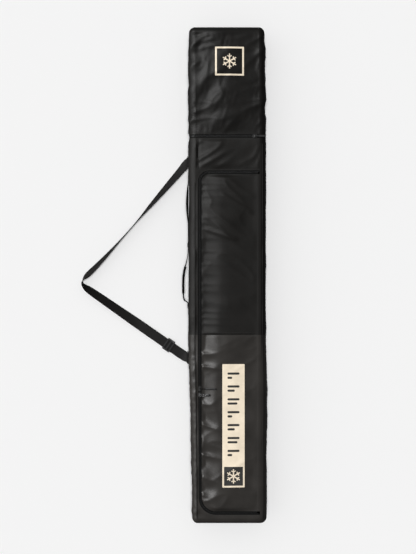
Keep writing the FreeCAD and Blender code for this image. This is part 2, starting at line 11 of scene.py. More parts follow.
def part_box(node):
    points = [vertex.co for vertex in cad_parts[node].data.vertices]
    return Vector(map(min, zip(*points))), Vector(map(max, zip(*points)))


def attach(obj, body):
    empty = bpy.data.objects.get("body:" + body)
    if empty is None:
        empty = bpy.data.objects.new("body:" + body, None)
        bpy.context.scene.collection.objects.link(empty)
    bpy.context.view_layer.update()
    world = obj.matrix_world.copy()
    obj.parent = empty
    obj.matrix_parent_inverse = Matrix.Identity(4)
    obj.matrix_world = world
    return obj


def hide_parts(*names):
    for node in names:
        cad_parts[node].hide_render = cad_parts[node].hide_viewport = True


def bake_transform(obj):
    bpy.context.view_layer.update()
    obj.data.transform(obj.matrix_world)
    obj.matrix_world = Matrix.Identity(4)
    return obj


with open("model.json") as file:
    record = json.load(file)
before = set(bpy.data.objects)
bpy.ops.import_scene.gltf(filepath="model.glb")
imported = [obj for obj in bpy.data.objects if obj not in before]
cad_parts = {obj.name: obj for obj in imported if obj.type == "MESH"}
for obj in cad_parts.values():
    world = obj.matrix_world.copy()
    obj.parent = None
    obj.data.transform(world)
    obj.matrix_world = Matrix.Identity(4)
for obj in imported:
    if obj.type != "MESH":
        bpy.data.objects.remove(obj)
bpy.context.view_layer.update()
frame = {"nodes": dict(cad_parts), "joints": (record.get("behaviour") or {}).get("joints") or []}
MM = 0.001
JOINTS = {j["name"]: j for j in frame["joints"]}

# ---- sizes read from the frame ----
CAP_LO, CAP_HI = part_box("base_cap")
HALF_W = CAP_HI.x
HEIGHT = CAP_HI.z
Y_LOW = CAP_LO.y
Y_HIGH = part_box("hood_end_cap")[1].y
Y_BASE = CAP_HI.y                              # the base cap ends here
R_END = Y_BASE - Y_LOW
X_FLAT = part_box("front_top_strip")[1].x        # the front is flat out to here
X_BACK_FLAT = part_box("back_panel")[1].x
R_FRONT = HALF_W - X_FLAT
R_BACK = HALF_W - X_BACK_FLAT
Y_HOOD = JOINTS["hood_swing"]["pos_m"][1]
Y_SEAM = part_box("flap_upper_panel")[0].y       # light cloth above, coated cloth below
X_HINGE = JOINTS["front_flap_hinge"]["pos_m"][0]
X_FLAP_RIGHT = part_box("flap_lining")[1].x
X_ZIP = JOINTS["upper_pull_swing"]["pos_m"][0]
COIL_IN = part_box("main_zip_coil_flap")[0].x - X_ZIP
Y_ZIP_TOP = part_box("main_zip_coil_flap")[1].y + COIL_IN
Y_ZIP_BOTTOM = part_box("main_zip_coil_flap")[0].y - COIL_IN
Z_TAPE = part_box("main_zip_tape_flap")[0].z
CLOTH_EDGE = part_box("flap_upper_panel")[0].x - X_ZIP - 1.3 * MM   # zipper's middle to hem

# ---- sizes of the looks ----
R_ZIP_TOP = 36 * MM
R_ZIP_BOTTOM = 62 * MM
WALL = 7.5 * MM            # cloth, padding and lining together
HOOD_CLOTH = 1.2 * MM
CELL = 5.5 * MM            # size of the cloth's grid
FLAP_CELL = 4.5 * MM
STRIP = 26 * MM            # half the uncut strip that the hood turns on
SHOULDER = 58 * MM         # how far down the right side the open flap comes near
HANDLE_REACH = 140 * MM    # how far from the middle of the handle it comes near the side
PULL_TILT = math.radians(8)   # the pulls lie on the padding, not flat
# Outline of the bag's sides as seen from above: Y, and how far the left and right
# sides stand out past the plain section.
SIDE_SWELL = [
    (-0.950, -11, 2), (-0.880, -11, 4), (-0.700, -9, 4), (-0.500, -5, 4), (-0.380, -1, 4),
    (-0.250, 3, 1), (-0.080, 3, 0), (0.090, 3, 0), (0.240, 3, 0), (0.330, 3, 0),
    (0.420, 2, 0), (0.530, 0, 0), (0.640, 0, -2), (0.800, 3, -3), (0.950, 1, -6),
]
OPEN_SECTION = (X_BACK_FLAT, R_BACK * math.pi / 2, HEIGHT - R_BACK - R_FRONT,
                R_FRONT * math.pi / 2)
S_SIDE = OPEN_SECTION[0]                 # the section's length where the right side starts
S_FRONT = sum(OPEN_SECTION)              # and where the front starts
S_FRONT_END = S_FRONT + 2 * X_FLAT
S_BACK = S_FRONT_END + sum(OPEN_SECTION[1:])
S_TOTAL = S_BACK + S_SIDE
S_ZIP_END = S_SIDE + R_BACK * math.asin((X_FLAT - X_BACK_FLAT) / R_BACK)


# ---- noise ----
def smooth(t):
    t = np.clip(t, 0, 1)
    return t * t * (3 - 2 * t)


def noise(x, y, seed, period=64):
    """Smooth noise from -1 to 1 on a lattice of seeded values."""
    lattice = np.random.default_rng(seed).uniform(-1, 1, (period, period))
    i, j = np.floor(x).astype(int), np.floor(y).astype(int)
    u, v = smooth(x - i), smooth(y - j)

    def at(a, b):
        return lattice[a % period, b % period]

    low = at(i, j) * (1 - u) + at(i + 1, j) * u
    high = at(i, j + 1) * (1 - u) + at(i + 1, j + 1) * u
    return low * (1 - v) + high * v


def folds(x, y, seed, length, width, angle):
    """Long soft creases that run at an angle, as sharp valleys between round swells."""
    c, s = math.cos(angle), math.sin(angle)
    u, v = x * c + y * s, y * c - x * s
    bend = noise(u / length, v / length, seed + 1) * 0.6
    n = noise(u / length, v / width + bend, seed)
    return 1 - 2 * np.abs(n) ** 0.7


# ---- the bag's skin ----
def section(s, inset=0.0):
    """Points and outward normals of the cross-section, by length s round it."""
    s = np.mod(np.asarray(s, float), S_TOTAL)
    mirror = np.where(s > S_TOTAL / 2, -1, 1)
    s = np.minimum(s, S_TOTAL - s)
    corner, wall_start, shoulder, front = np.cumsum(OPEN_SECTION)
    quarter, high = math.pi / 2, s > shoulder
    angle = (np.clip((s - corner) / R_BACK - quarter, -quarter, 0)
             + np.clip((s - shoulder) / R_FRONT, 0, quarter))
    nx, nz = np.cos(angle), np.sin(angle)
    x = (np.where(high, X_FLAT + R_FRONT * nx, X_BACK_FLAT + R_BACK * nx)
         - np.maximum(corner - s, 0) - np.maximum(s - front, 0))
    z = np.where(high, HEIGHT - R_FRONT + R_FRONT * nz,
                 R_BACK + R_BACK * nz + np.maximum(s - wall_start, 0))
    return (x - nx * inset) * mirror, z - nz * inset, nx * mirror, nz


def on_front(s):
    return (s > S_FRONT) & (s < S_FRONT_END)


def side_swell(y):
    """How far the left and right sides stand out at Y."""
    places, left, right = np.array(SIDE_SWELL).T
    return np.interp(y, places, left) * MM, np.interp(y, places, right) * MM


def shaped(x, y, z):
    """Swells the sides of the plain section to the bag's real outline."""
    left, right = side_swell(y)
    w = smooth((np.abs(x) - X_BACK_FLAT) / (HALF_W - X_BACK_FLAT))
    return x + np.where(x < 0, -left, right) * w, y, z


def skin(s, y, inset=0.0, out=0.0):
    """The bag's surface at section length s and Y, moved out along its normal."""
    x, z, nx, nz = section(s, inset)
    return np.stack(shaped(x + nx * out, np.asarray(y, float) + 0 * x, z + nz * out), -1)


def outline_distance(x, y):
    """Distance outside the main zipper's centre line, negative on the flap."""
    d = np.maximum.reduce([X_ZIP - x, y - Y_ZIP_TOP, Y_ZIP_BOTTOM - y])
    for y_end, r, up in ((Y_ZIP_TOP, R_ZIP_TOP, 1), (Y_ZIP_BOTTOM, R_ZIP_BOTTOM, -1)):
        cx, cy = X_ZIP + r, y_end - up * r
        d = np.where((x < cx) & ((y - cy) * up > 0), np.hypot(x - cx, y - cy) - r, d)
    return d


def snapped(x, y, target):
    """Moves points along the outline's gradient to a given distance from it."""
    e = 0.2 * MM
    for _ in range(3):
        d = outline_distance(x, y)
        gx = (outline_distance(x + e, y) - outline_distance(x - e, y)) / (2 * e)
        gy = (outline_distance(x, y + e) - outline_distance(x, y - e)) / (2 * e)
        x, y = x + (target - d) * gx, y + (target - d) * gy
    return x, y


def lines(*marks, cell=CELL):
    """Grid lines through every mark, about one cell apart."""
    marks = sorted(marks)
    out = [marks[0]]
    for a, b in zip(marks, marks[1:]):
        n = max(1, round((b - a) / cell))
        out += [a + (b - a) * k / n for k in range(1, n + 1)]
    return np.array(out)


# ---- mesh helpers ----
ALONG = np.array([0, 1.0, 0])          # along the bag
UP = np.array([0, 0, 1.0])
OUT_LEFT = np.array([-1.0, 0, 0])      # out of the bag's left side
SQUARENESS = 0.55                      # 1 makes a pebble round, 0 makes it square


def add_mesh(name, points, faces, uv=None, materials=(), face_slots=None):
    mesh = bpy.data.meshes.new(name)
    mesh.from_pydata([tuple(p) for p in np.asarray(points, float)], [], [tuple(f) for f in faces])
    if uv is not None:
        loops = np.zeros(len(mesh.loops), int)
        mesh.loops.foreach_get("vertex_index", loops)
        layer = mesh.uv_layers.new(name="UVMap")
        layer.data.foreach_set("uv", np.asarray(uv, float)[loops].ravel())
    for m in materials:
        mesh.materials.append(m)
    if face_slots is not None:
        mesh.polygons.foreach_set("material_index", np.asarray(face_slots, int))
    mesh.polygons.foreach_set("use_smooth", np.ones(len(mesh.polygons), bool))
    mesh.update()
    mesh.set_sharp_from_angle(angle=math.radians(55))
    obj = bpy.data.objects.new(name, mesh)
    bpy.context.scene.collection.objects.link(obj)
    return obj


def grid_faces(rows, columns):
    """Quads of a grid whose point at row i and column j is number i * columns + j."""
    i, j = np.meshgrid(np.arange(rows - 1), np.arange(columns - 1), indexing="ij")
    a = (i * columns + j).ravel()
    return np.stack([a, a + 1, a + columns + 1, a + columns], 1)


def grid(y_lines, x_lines):
    """A grid's points, its quads and the quads' middles."""
    y, x = (a.ravel() for a in np.meshgrid(y_lines, x_lines, indexing="ij"))
    faces = grid_faces(len(y_lines), len(x_lines))
    return y, x, faces, y[faces].mean(1), x[faces].mean(1)


def tube_faces(rings, size, closed=False):
    """Quads round a tube of rings with this many points each."""
    faces = []
    for i in range(rings if closed else rings - 1):
        a, b = i * size, (i + 1) % rings * size
        faces += [(a + j, a + (j + 1) % size, b + (j + 1) % size, b + j) for j in range(size)]
    return faces


def open_edges(faces):
    """The edges that only one quad has."""
    edges = np.concatenate([faces[:, [k, (k + 1) % 4]] for k in range(4)])
    _, first, count = np.unique(np.sort(edges, 1), axis=0, return_index=True, return_counts=True)
    return edges[first[count == 1]]


def unit_rows(v):
    return v / np.linalg.norm(v, axis=1)[:, None]


def length_along(line):
    return np.concatenate([[0], np.cumsum(np.linalg.norm(np.diff(line, axis=0), axis=1))])


def piece(name, points, faces, uv, materials, body, stands_for=(), face_slots=None):
    """A part of the bag, with its body, its slot and the CAD nodes that it replaces."""
    obj = add_mesh(name, points, faces, uv, materials, face_slots)
    if body:
        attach(obj, body)
    if stands_for:
        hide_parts(*stands_for)
    return obj


def wall(name, outer, inner, faces, uv, body, cloth, lining, stands_for=()):
    """A closed panel: a cloth face outside, a lining inside, and a hem round its edge."""
    used, faces = np.unique(faces, return_inverse=True)
    faces, n = faces.reshape(-1, 4), len(used)
    a, b = open_edges(faces).T
    rim = np.stack([b, a, a + n, b + n], 1)
    slots = [0] * len(faces) + [1] * len(faces) + [0] * len(rim)
    return piece(name, np.concatenate([outer[used], inner[used]]),
                 np.concatenate([faces, faces[:, ::-1] + n, rim]), np.tile(uv[used], (2, 1)),
                 (cloth, lining), body, stands_for, slots)


def sweep(name, centres, side, up, profile, material, body, slot=None, stands_for=(),
          closed=False):
    """A solid strip or cord: the profile's points (across, up) carried along a line."""
    centres, profile = np.asarray(centres, float), np.asarray(profile, float)
    side, up = (np.broadcast_to(a, centres.shape) for a in (side, up))
    n, k = len(centres), len(profile)
    points = (centres[:, None] + side[:, None] * profile[None, :, :1]
              + up[:, None] * profile[None, :, 1:2]).reshape(-1, 3)
    faces = tube_faces(n, k, closed)
    if not closed:
        faces += [tuple(range(k))[::-1], tuple(range((n - 1) * k, n * k))]
    uv = np.stack([np.tile(profile[:, 0], n), np.repeat(length_along(centres), k)], 1)
    return piece(name, points, faces, uv, (material,), body, stands_for)


def circle(radius, count):
    a = np.arange(count) * 2 * math.pi / count
    return np.stack([np.cos(a), np.sin(a)], 1) * radius


def band(width, thick, edge=0.3):
    """Profile of flat webbing with softened edges."""
    w, t, e = width / 2, thick / 2, thick * edge
    half = [(-w + e, -t), (0, -t), (w - e, -t), (w, 0)]
    return half + [(-a, -b) for a, b in half]


def curve_through(points, step):
    """Evenly spaced points on a smooth line through the given ones (Catmull-Rom)."""
    p = np.asarray(points, float)
    p = np.concatenate([2 * p[:1] - p[1:2], p, 2 * p[-1:] - p[-2:-1]])
    out = []
    for k in range(1, len(p) - 2):
        t = np.linspace(0, 1, 24, endpoint=False)[:, None]
        a, b, c, d = p[k - 1], p[k], p[k + 1], p[k + 2]
        out.append(0.5 * (2 * b + (c - a) * t + (2 * a - 5 * b + 4 * c - d) * t ** 2
                          + (3 * b - a - 3 * c + d) * t ** 3))
    out.append(p[-2:-1])
    return evenly(np.concatenate(out), step)


def evenly(line, step):
    length = length_along(line)
    at = np.linspace(0, length[-1], max(2, int(length[-1] / step)))
    return np.stack([np.interp(at, length, line[:, k]) for k in range(line.shape[1])], 1)


def copies(name, unit, centres, axes, material, body, stands_for=()):
    """Many copies of a small mesh, each at a centre with its own three axes."""
    shape, centres = np.array(unit[0], float), np.asarray(centres)
    points = centres[:, None] + np.einsum("vk,nkc->nvc", shape, np.asarray(axes, float))
    faces = [tuple(v + i * len(shape) for v in f) for i in range(len(centres)) for f in unit[1]]
    return piece(name, points.reshape(-1, 3), faces, None, (material,), body, stands_for)


def pebble(a, b, c, rings, segments):
    """Rounded block with half-sizes a, b and c."""
    lat, lon = (v.ravel() for v in np.meshgrid(
        math.pi * (np.arange(rings) + 1) / (rings + 1) - math.pi / 2,
        2 * math.pi * np.arange(segments) / segments, indexing="ij"))
    ball = np.stack([np.cos(lat) * np.cos(lon), np.cos(lat) * np.sin(lon), np.sin(lat)], 1)
    points = np.copysign(np.abs(ball) ** SQUARENESS, ball) * (a, b, c)
    faces, tip, last = tube_faces(rings, segments), len(points), len(points) - segments
    for k in range(segments):
        n = (k + 1) % segments
        faces += [(tip, n, k), (tip + 1, last + k, last + n)]
    return np.concatenate([points, [(0, 0, -c), (0, 0, c)]]), faces


# ---- materials ----
WAVE_BANDS = 3.183        # bands per metre of a wave texture whose scale is 1


def nodes_of(name, colour, roughness, **sockets):
    mat = bpy.data.materials.new(name)
    mat.use_nodes = True
    tree = mat.node_tree
    bsdf = tree.nodes["Principled BSDF"]
    bsdf.inputs["Base Color"].default_value = (*colour, 1)
    bsdf.inputs["Roughness"].default_value = roughness
    for key, value in sockets.items():
        bsdf.inputs[key.replace("_", " ")].default_value = value
    return mat, tree, bsdf


def link(tree, a, out, b, into):
    tree.links.new(a.outputs[out], b.inputs[into])


def textured(tree, kind, scale, coords, **inputs):
    node = tree.nodes.new(kind)
    if "Scale" in node.inputs:
        node.inputs["Scale"].default_value = scale
    for key, value in inputs.items():
        node.inputs[key].default_value = value
    source, out = coords
    link(tree, source, out, node, "Vector")
    return node


def drifting(name, colour, roughness, scale, spread, swing=0.0, **sockets):
    """A material whose colour, and roughness by a swing, drift across the piece."""
    mat, tree, bsdf = nodes_of(name, colour, roughness, **sockets)
    coords = tree.nodes.new("ShaderNodeTexCoord")
    cloud = textured(tree, "ShaderNodeTexNoise", scale, (coords, "Object"), Detail=4.0)
    ramp = tree.nodes.new("ShaderNodeValToRGB")
    for element, place, share in zip(ramp.color_ramp.elements, (0.3, 0.7), (-spread, spread)):
        element.position = place
        element.color = (*[c * (1 + share) for c in colour], 1)
    link(tree, cloud, "Fac", ramp, "Fac")
    link(tree, ramp, "Color", bsdf, "Base Color")
    if swing:
        span = tree.nodes.new("ShaderNodeMapRange")
        span.inputs["To Min"].default_value = roughness - swing
        span.inputs["To Max"].default_value = roughness + swing
        link(tree, cloud, "Fac", span, "Value")
        link(tree, span, "Result", bsdf, "Roughness")
    return mat, tree, bsdf, coords


def bump(tree, bsdf, height_node, out, distance, strength, below=None):
    b = tree.nodes.new("ShaderNodeBump")
    b.inputs["Distance"].default_value = distance
    b.inputs["Strength"].default_value = strength
    link(tree, height_node, out, b, "Height")
    if below:
        link(tree, below, "Normal", b, "Normal")
    link(tree, b, "Normal", bsdf, "Normal")
    return b


def waves(tree, coords, pitch, direction, **inputs):
    """Bands of a thread and a gap, each this wide."""
    w = textured(tree, "ShaderNodeTexWave", 0.5 / pitch / WAVE_BANDS, coords, **inputs)
    w.bands_direction = direction
    return w


def cloth(name, colour, roughness, thread, relief=0.35, **sockets):
    """Woven cloth: threads, a faint cloudiness, and roughness that follows it."""
    mat, tree, bsdf, coords = drifting(name, colour, roughness, 14.0, 0.18, 0.07, **sockets)
    fine = textured(tree, "ShaderNodeTexNoise", 900.0, (coords, "Object"), Detail=2.0)
    first = bump(tree, bsdf, fine, "Fac", 0.0002, 0.3)
    weave = tree.nodes.new("ShaderNodeMath")
    weave.operation = "MULTIPLY"
    for k, direction in enumerate("XY"):
        link(tree, waves(tree, (coords, "UV"), thread, direction), "Fac", weave, k)
    bump(tree, bsdf, weave, "Value", thread * 0.35, relief, first)
    return mat


def ribbed(name, colour, roughness, rib, space="UV", **sockets):
    """Webbing: ribs across the strap with a finer twill along it."""
    mat, tree, bsdf, coords = drifting(name, colour, roughness, 30.0, 0.15, **sockets)
    across = waves(tree, (coords, space), rib, "Y", Distortion=0.6)
    along = waves(tree, (coords, space), rib * 1.3, "X")
    first = bump(tree, bsdf, across, "Fac", 0.0005, 0.6)
    bump(tree, bsdf, along, "Fac", 0.0003, 0.4, first)
    return mat


def moulded(name, colour, roughness, grain=700.0, **sockets):
    """Plastic, enamel or printed film with a fine grain."""
    mat, tree, bsdf, coords = drifting(name, colour, roughness, 40.0, 0.06, 0.05, **sockets)
    fine = textured(tree, "ShaderNodeTexNoise", grain, (coords, "Object"), Detail=3.0)
    bump(tree, bsdf, fine, "Fac", 0.0002, 0.25)
    return mat


PADDED = cloth("padded_cloth_mat", (0.0070, 0.0064, 0.0056), 0.50, 0.9 * MM,
               Specular_IOR_Level=0.20)
COATED = cloth("coated_cloth_mat", (0.0225, 0.0202, 0.0180), 0.36, 1.3 * MM, relief=0.18,
               Specular_IOR_Level=0.32)
HOOD = cloth("hood_cloth_mat", (0.0054, 0.0049, 0.0043), 0.42, 0.7 * MM,
             Specular_IOR_Level=0.20)
LINING = cloth("lining_mat", (0.032, 0.032, 0.034), 0.6, 0.8 * MM, Sheen_Weight=0.1)
TAPE = cloth("zipper_tape_mat", (0.005, 0.005, 0.005), 0.8, 0.8 * MM, Specular_IOR_Level=0.1)
WEBBING = ribbed("webbing_mat", (0.0085, 0.0080, 0.0076), 0.6, 1.6 * MM, Specular_IOR_Level=0.15)
CAD_WEBBING = ribbed("cad_webbing_mat", (0.0085, 0.0080, 0.0076), 0.6, 1.6 * MM, space="Object",
                     Specular_IOR_Level=0.15)
COIL = moulded("zipper_coil_mat", (0.006, 0.006, 0.006), 0.38, Specular_IOR_Level=0.3)
METAL = moulded("slider_metal_mat", (0.045, 0.045, 0.045), 0.3, Metallic=0.6)
BRIGHT_METAL = moulded("pull_metal_mat", (0.30, 0.30, 0.31), 0.28, Metallic=1.0)
RUBBER = moulded("pull_cord_mat", (0.010, 0.010, 0.010), 0.55)
PLASTIC = moulded("buckle_plastic_mat", (0.011, 0.011, 0.011), 0.42)
CREAM = moulded("label_cream_mat", (0.84, 0.73, 0.57), 0.5, 350.0)
DARK_PRINT = moulded("label_dark_mat", (0.022, 0.022, 0.020), 0.5, 350.0)
THREAD = moulded("stitch_thread_mat", (0.020, 0.020, 0.019), 0.7)


# ---- creases of the cloth ----
# Heights here are in mm until a function's last line. After their coordinates, folds
# and noise take a seed; folds also take a length and a width in m, and an angle.
def ridge(u, y, seed, peak=0.33):
    """Height, 0 to 1, across a puffed panel: steep on the left of a wandering ridge."""
    top = peak + 0.10 * noise(y / 0.17, 0 * y, seed) + 0.04 * noise(y / 0.05, 0 * y, seed + 1)
    rise = smooth(u / top)
    fall = 1 - smooth((u - top) / (1 - top))
    return np.where(u < top, rise, fall)


def panel_share(x):
    return (x + X_FLAT) / (2 * X_FLAT)


def body_relief(s, y):
    """How far the body's cloth stands out from the plain shell, before it settles."""
    front = on_front(s)
    x = section(s)[0]
    left_side = s > S_FRONT_END
    d = 1.8 * folds(y, x + s, 11, 0.22, 0.055, 0.25)
    d += 1.0 * folds(y, s, 12, 0.09, 0.028, -0.5)
    d += 2.0 * noise(y / 0.16, s / 0.09, 13)
    d = d * (1 - 0.5 * front * smooth((X_FLAT - np.abs(x)) / 0.03))
    top_band = smooth((y - 0.40) / 0.03) * front * smooth((X_FLAT - np.abs(x)) / 0.012)
    slanted = smooth((0.01 - x) / 0.05)
    d += top_band * (7.0 * ridge(panel_share(x), y, 24) + (1.0 + 2.2 * slanted)
                     * folds(x, y, 21, 0.14, 0.030, 0.50))
    d -= top_band * 4.0 * np.exp(-((x + 0.112) / (5 * MM)) ** 2)
    lower = smooth((Y_SEAM - y) / 0.05) * left_side
    d += lower * 1.2 * folds(s, y, 22, 0.06, 0.02, 0.1)
    corner = smooth((Y_ZIP_BOTTOM + 0.03 - y) / 0.03) * smooth((-0.02 - x) / 0.06)
    d += corner * 2.2 * folds(x, y, 25, 0.07, 0.016, -0.85)
    shoulder = smooth((s - S_FRONT + SHOULDER) / (20 * MM)) * (s < S_FRONT + 1 * MM)
    by_handle = left_side * smooth((HANDLE_REACH - np.abs(y)) / (25 * MM))
    d = np.where(d > 0, d * (1 - shoulder) * (1 - 0.8 * by_handle), d)
    return d * MM


def crest(x, y, start, end, width=8 * MM):
    """A straight soft ridge, 1 on its line from start to end."""
    dx, dy = end[0] - start[0], end[1] - start[1]
    length = math.hypot(dx, dy)
    along = ((x - start[0]) * dx + (y - start[1]) * dy) / length
    off = ((y - start[1]) * dx - (x - start[0]) * dy) / length
    ends = smooth(along / (30 * MM)) * smooth((length - along) / (30 * MM))
    return ends * np.exp(-(off / width) ** 2)


def flap_relief(x, y):
    """Puffed padding above the seam; puckered beside the zipper below it."""
    edge = -outline_distance(x, y) - CLOTH_EDGE
    inner = smooth(edge / (22 * MM))
    right = smooth((X_FLAP_RIGHT - x) / (25 * MM))
    low = smooth((Y_SEAM + 0.006 - y) / 0.012)
    u = (x - X_ZIP - CLOTH_EDGE) / (X_FLAP_RIGHT - X_ZIP - CLOTH_EDGE)
    pad = 9.5 * ridge(u, y, 37) * smooth(edge / (14 * MM))
    pucker = np.exp(-np.maximum(edge, 0) / 0.042) * smooth(edge / (5 * MM))
    d = pad + low * right * 7.0 * pucker * folds(x * 0.45, y, 31, 0.10, 0.038, -0.6)
    d += low * inner * right * (1.2 * folds(x, y, 32, 0.12, 0.045, 0.5)
                                + 0.8 * noise(x / 0.03, y / 0.05, 33))
    slack = np.exp(-((y - 0.235) / 0.10) ** 2)
    upper = (1 - low) * inner * right
    slanting = (0.9 + 5.0 * slack * smooth((0.78 - u) / 0.3)) * folds(x, y, 34, 0.16, 0.042, -0.62)
    d += upper * (slanting + 1.0 * noise(x / 0.07, y / 0.10, 38))
    d += upper * (3.2 * crest(x, y, (-0.102, 0.180), (0.050, 0.133))
                  + 2.6 * crest(x, y, (-0.035, 0.317), (0.105, 0.230)))
    d += (1 - low) * right * 1.8 * pucker * folds(x * 0.35, y, 35, 0.1, 0.024, -0.15)
    from_zip = x - X_ZIP
    room = 5.2 + math.tan(PULL_TILT) * from_zip / MM + 12 * smooth((from_zip - 0.068) / 0.02)
    d = np.where(d > room, room + 0.15 * (d - room), d)
    seam = np.exp(-((y - Y_SEAM) / (3.5 * MM)) ** 2)
    over_tape = 1 - smooth((edge - 8 * MM) / (10 * MM))
    return (np.maximum(d, -5.0 + 4.2 * over_tape) - 2.2 * seam * right * (1 - over_tape)) * MM


def hood_puff(s, y):
    """The hood's front stands proud of its plain section, most along a ridge."""
    rise = smooth((y - Y_HOOD - CLOTH_EDGE) / 0.05)
    return on_front(s) * 8.5 * MM * rise * ridge(panel_share(section(s)[0]), y, 45, 0.42)


def hood_relief(s, y):
    """Thin cloth with long slanting creases and small ones between them."""
    x = section(s)[0]
    calmer = on_front(s) * smooth((x + 0.03) / 0.06) * smooth((X_FLAT - x) / 0.03)
    slanting = sum(height * folds(-s, y, *shape) for height, *shape in (
        (3.4, 41, 0.18, 0.048, 0.80), (2.0, 42, 0.12, 0.030, 0.25), (1.0, 43, 0.05, 0.018, 1.3)))
    return ((1 - 0.6 * calmer) * slanting + 1.6 * noise(s / 0.10, y / 0.12, 44)) * MM


def calm(s):
    """1 where cloth is free, falling to 0 where it lies on the floor."""
    s = np.mod(s, S_TOTAL)
    start, end = S_SIDE + 12 * MM, S_BACK - 12 * MM
    return smooth(np.minimum(s - start, end - s) / (40 * MM))


def body_free(s, y):
    """The same, falling to 0 beside the base and the hood's zipper as well."""
    return (calm(s) * smooth((Y_HOOD - CLOTH_EDGE - y) / (18 * MM))
            * smooth((y - Y_BASE) / (20 * MM)))


def near_zip(s, y):
    """0 at the hem of the main zipper, 1 away from it."""
    return smooth((outline_distance(section(s)[0], y) - CLOTH_EDGE) / (14 * MM))


# ---- settling the cloth ----
def settle(points, faces, rest, hold, frames, reach):
    """Lets cloth with a little spare width settle, and caps how far a point may go."""
    obj = add_mesh("settling", points, faces)
    obj.shape_key_add(name="Basis")
    key = obj.shape_key_add(name="Rest")
    key.data.foreach_set("co", np.asarray(rest, float).ravel())
    group, hold = obj.vertex_groups.new(name="hold"), np.round(hold, 2)
    for level in np.unique(hold):
        group.add(np.nonzero(hold == level)[0].tolist(), float(level), "REPLACE")
    mod = obj.modifiers.new("Cloth", "CLOTH")
    s = mod.settings
    s.quality, s.mass = 5, 0.25
    s.tension_stiffness = s.compression_stiffness = 12.0
    s.shear_stiffness, s.bending_stiffness = 4.8, 0.35
    s.tension_damping = s.compression_damping = s.shear_damping = 8
    s.bending_damping = 1.0
    s.vertex_group_mass, s.pin_stiffness = "hold", 1.0
    s.rest_shape_key = key
    s.effector_weights.gravity = 0
    mod.collision_settings.use_collision = False
    mod.point_cache.frame_start, mod.point_cache.frame_end = 1, frames + 1
    scene = bpy.context.scene
    for f in range(1, frames + 1):
        scene.frame_set(f)
    shown = obj.evaluated_get(bpy.context.evaluated_depsgraph_get())
    moved = np.zeros(len(points) * 3)
    shown.data.vertices.foreach_get("co", moved)
    scene.frame_set(1)
    bpy.data.objects.remove(obj)
    shift = moved.reshape(-1, 3) - points
    size = np.linalg.norm(shift, axis=1)[:, None] + 1e-9
    return points + shift / size * reach * np.tanh(size / reach)


# ---- the body's panels ----
def mark_edges(faces, keep, count):
    """Points that lie between kept and removed faces."""
    kept, gone = np.zeros(count, bool), np.zeros(count, bool)
    kept[faces[keep]] = True
    gone[faces[~keep]] = True
    return kept & gone


def build_body():
    s_lines = lines(-S_SIDE, 0, S_SIDE, S_ZIP_END, S_FRONT, S_FRONT + X_FLAT - X_ZIP + CLOTH_EDGE,
                    S_FRONT_END, S_BACK)
    y_lines = lines(Y_BASE, Y_ZIP_BOTTOM - CLOTH_EDGE, Y_SEAM, Y_ZIP_TOP + CLOTH_EDGE,
                    Y_HOOD - STRIP, Y_HOOD - CLOTH_EDGE)
    y, s, faces, fy, fs = grid(y_lines, s_lines)
    front = on_front(fs)
    cut = front & (outline_distance(section(fs)[0], fy) < CLOTH_EDGE)
    hinge = (fs > S_ZIP_END) & (fs < S_FRONT) & (fy > Y_HOOD - STRIP)
    keep = ~(cut | hinge)

    x = section(s)[0]
    edge = mark_edges(faces, ~cut, len(s)) & (s > S_FRONT - 1e-6) & (s < S_FRONT_END - 1e-6)
    sx, sy = snapped(x, y, CLOTH_EDGE)
    snap = edge & (np.hypot(sx - x, sy - y) < CELL)
    s, y = np.where(snap, S_FRONT + X_FLAT - sx, s), np.where(snap, sy, y)
    free = body_free(s, y) * np.where(on_front(s), near_zip(s, y), 1.0)
    outer = skin(s, y, out=body_relief(s, y) * free)
    inner = skin(s, y, inset=WALL)
    hold = np.where(free < 0.02, 1.0, 0.55 - 0.25 * free)
    pinned = edge | (y < Y_BASE + 1e-6) | (y > Y_HOOD - CLOTH_EDGE - 1e-6)
    outer = settle(outer, faces[keep], outer * [1, 1.012, 1], np.where(pinned, 1.0, hold), 12,
                   4 * MM)
    right, left = (fs > S_SIDE) & (fs < S_FRONT), fs > S_FRONT_END
    upper, top = fy > Y_SEAM, fy > Y_ZIP_TOP - R_ZIP_TOP
    bottom = fy < Y_ZIP_BOTTOM + R_ZIP_BOTTOM
    for name, where, material, *nodes in (
            ("back_panel", fs < S_SIDE, COATED, "back_panel", "back_foam", "body_lining"),
            ("right_side_upper", right & upper, PADDED, "right_side_upper", "right_foam"),
            ("right_side_lower", right & ~upper, COATED, "right_side_lower"),
            ("left_side_upper", left & upper, PADDED, "left_side_upper", "left_foam"),
            ("left_side_lower", left & ~upper, COATED, "left_side_lower"),
            ("front_top", front & top, PADDED, "front_top_strip", "front_top_foam",
             "front_lining"),
            ("front_left_upper", front & upper & ~top, PADDED),
            ("front_left_lower", front & ~upper & ~bottom, COATED, "front_left_strip"),
            ("front_bottom", front & bottom, COATED, "front_bottom_strip")):
        panel = wall(name + "_cloth", outer, inner, faces[keep & where], np.stack([s, y], 1),
                     "shell", material, LINING, nodes)
    return s_lines


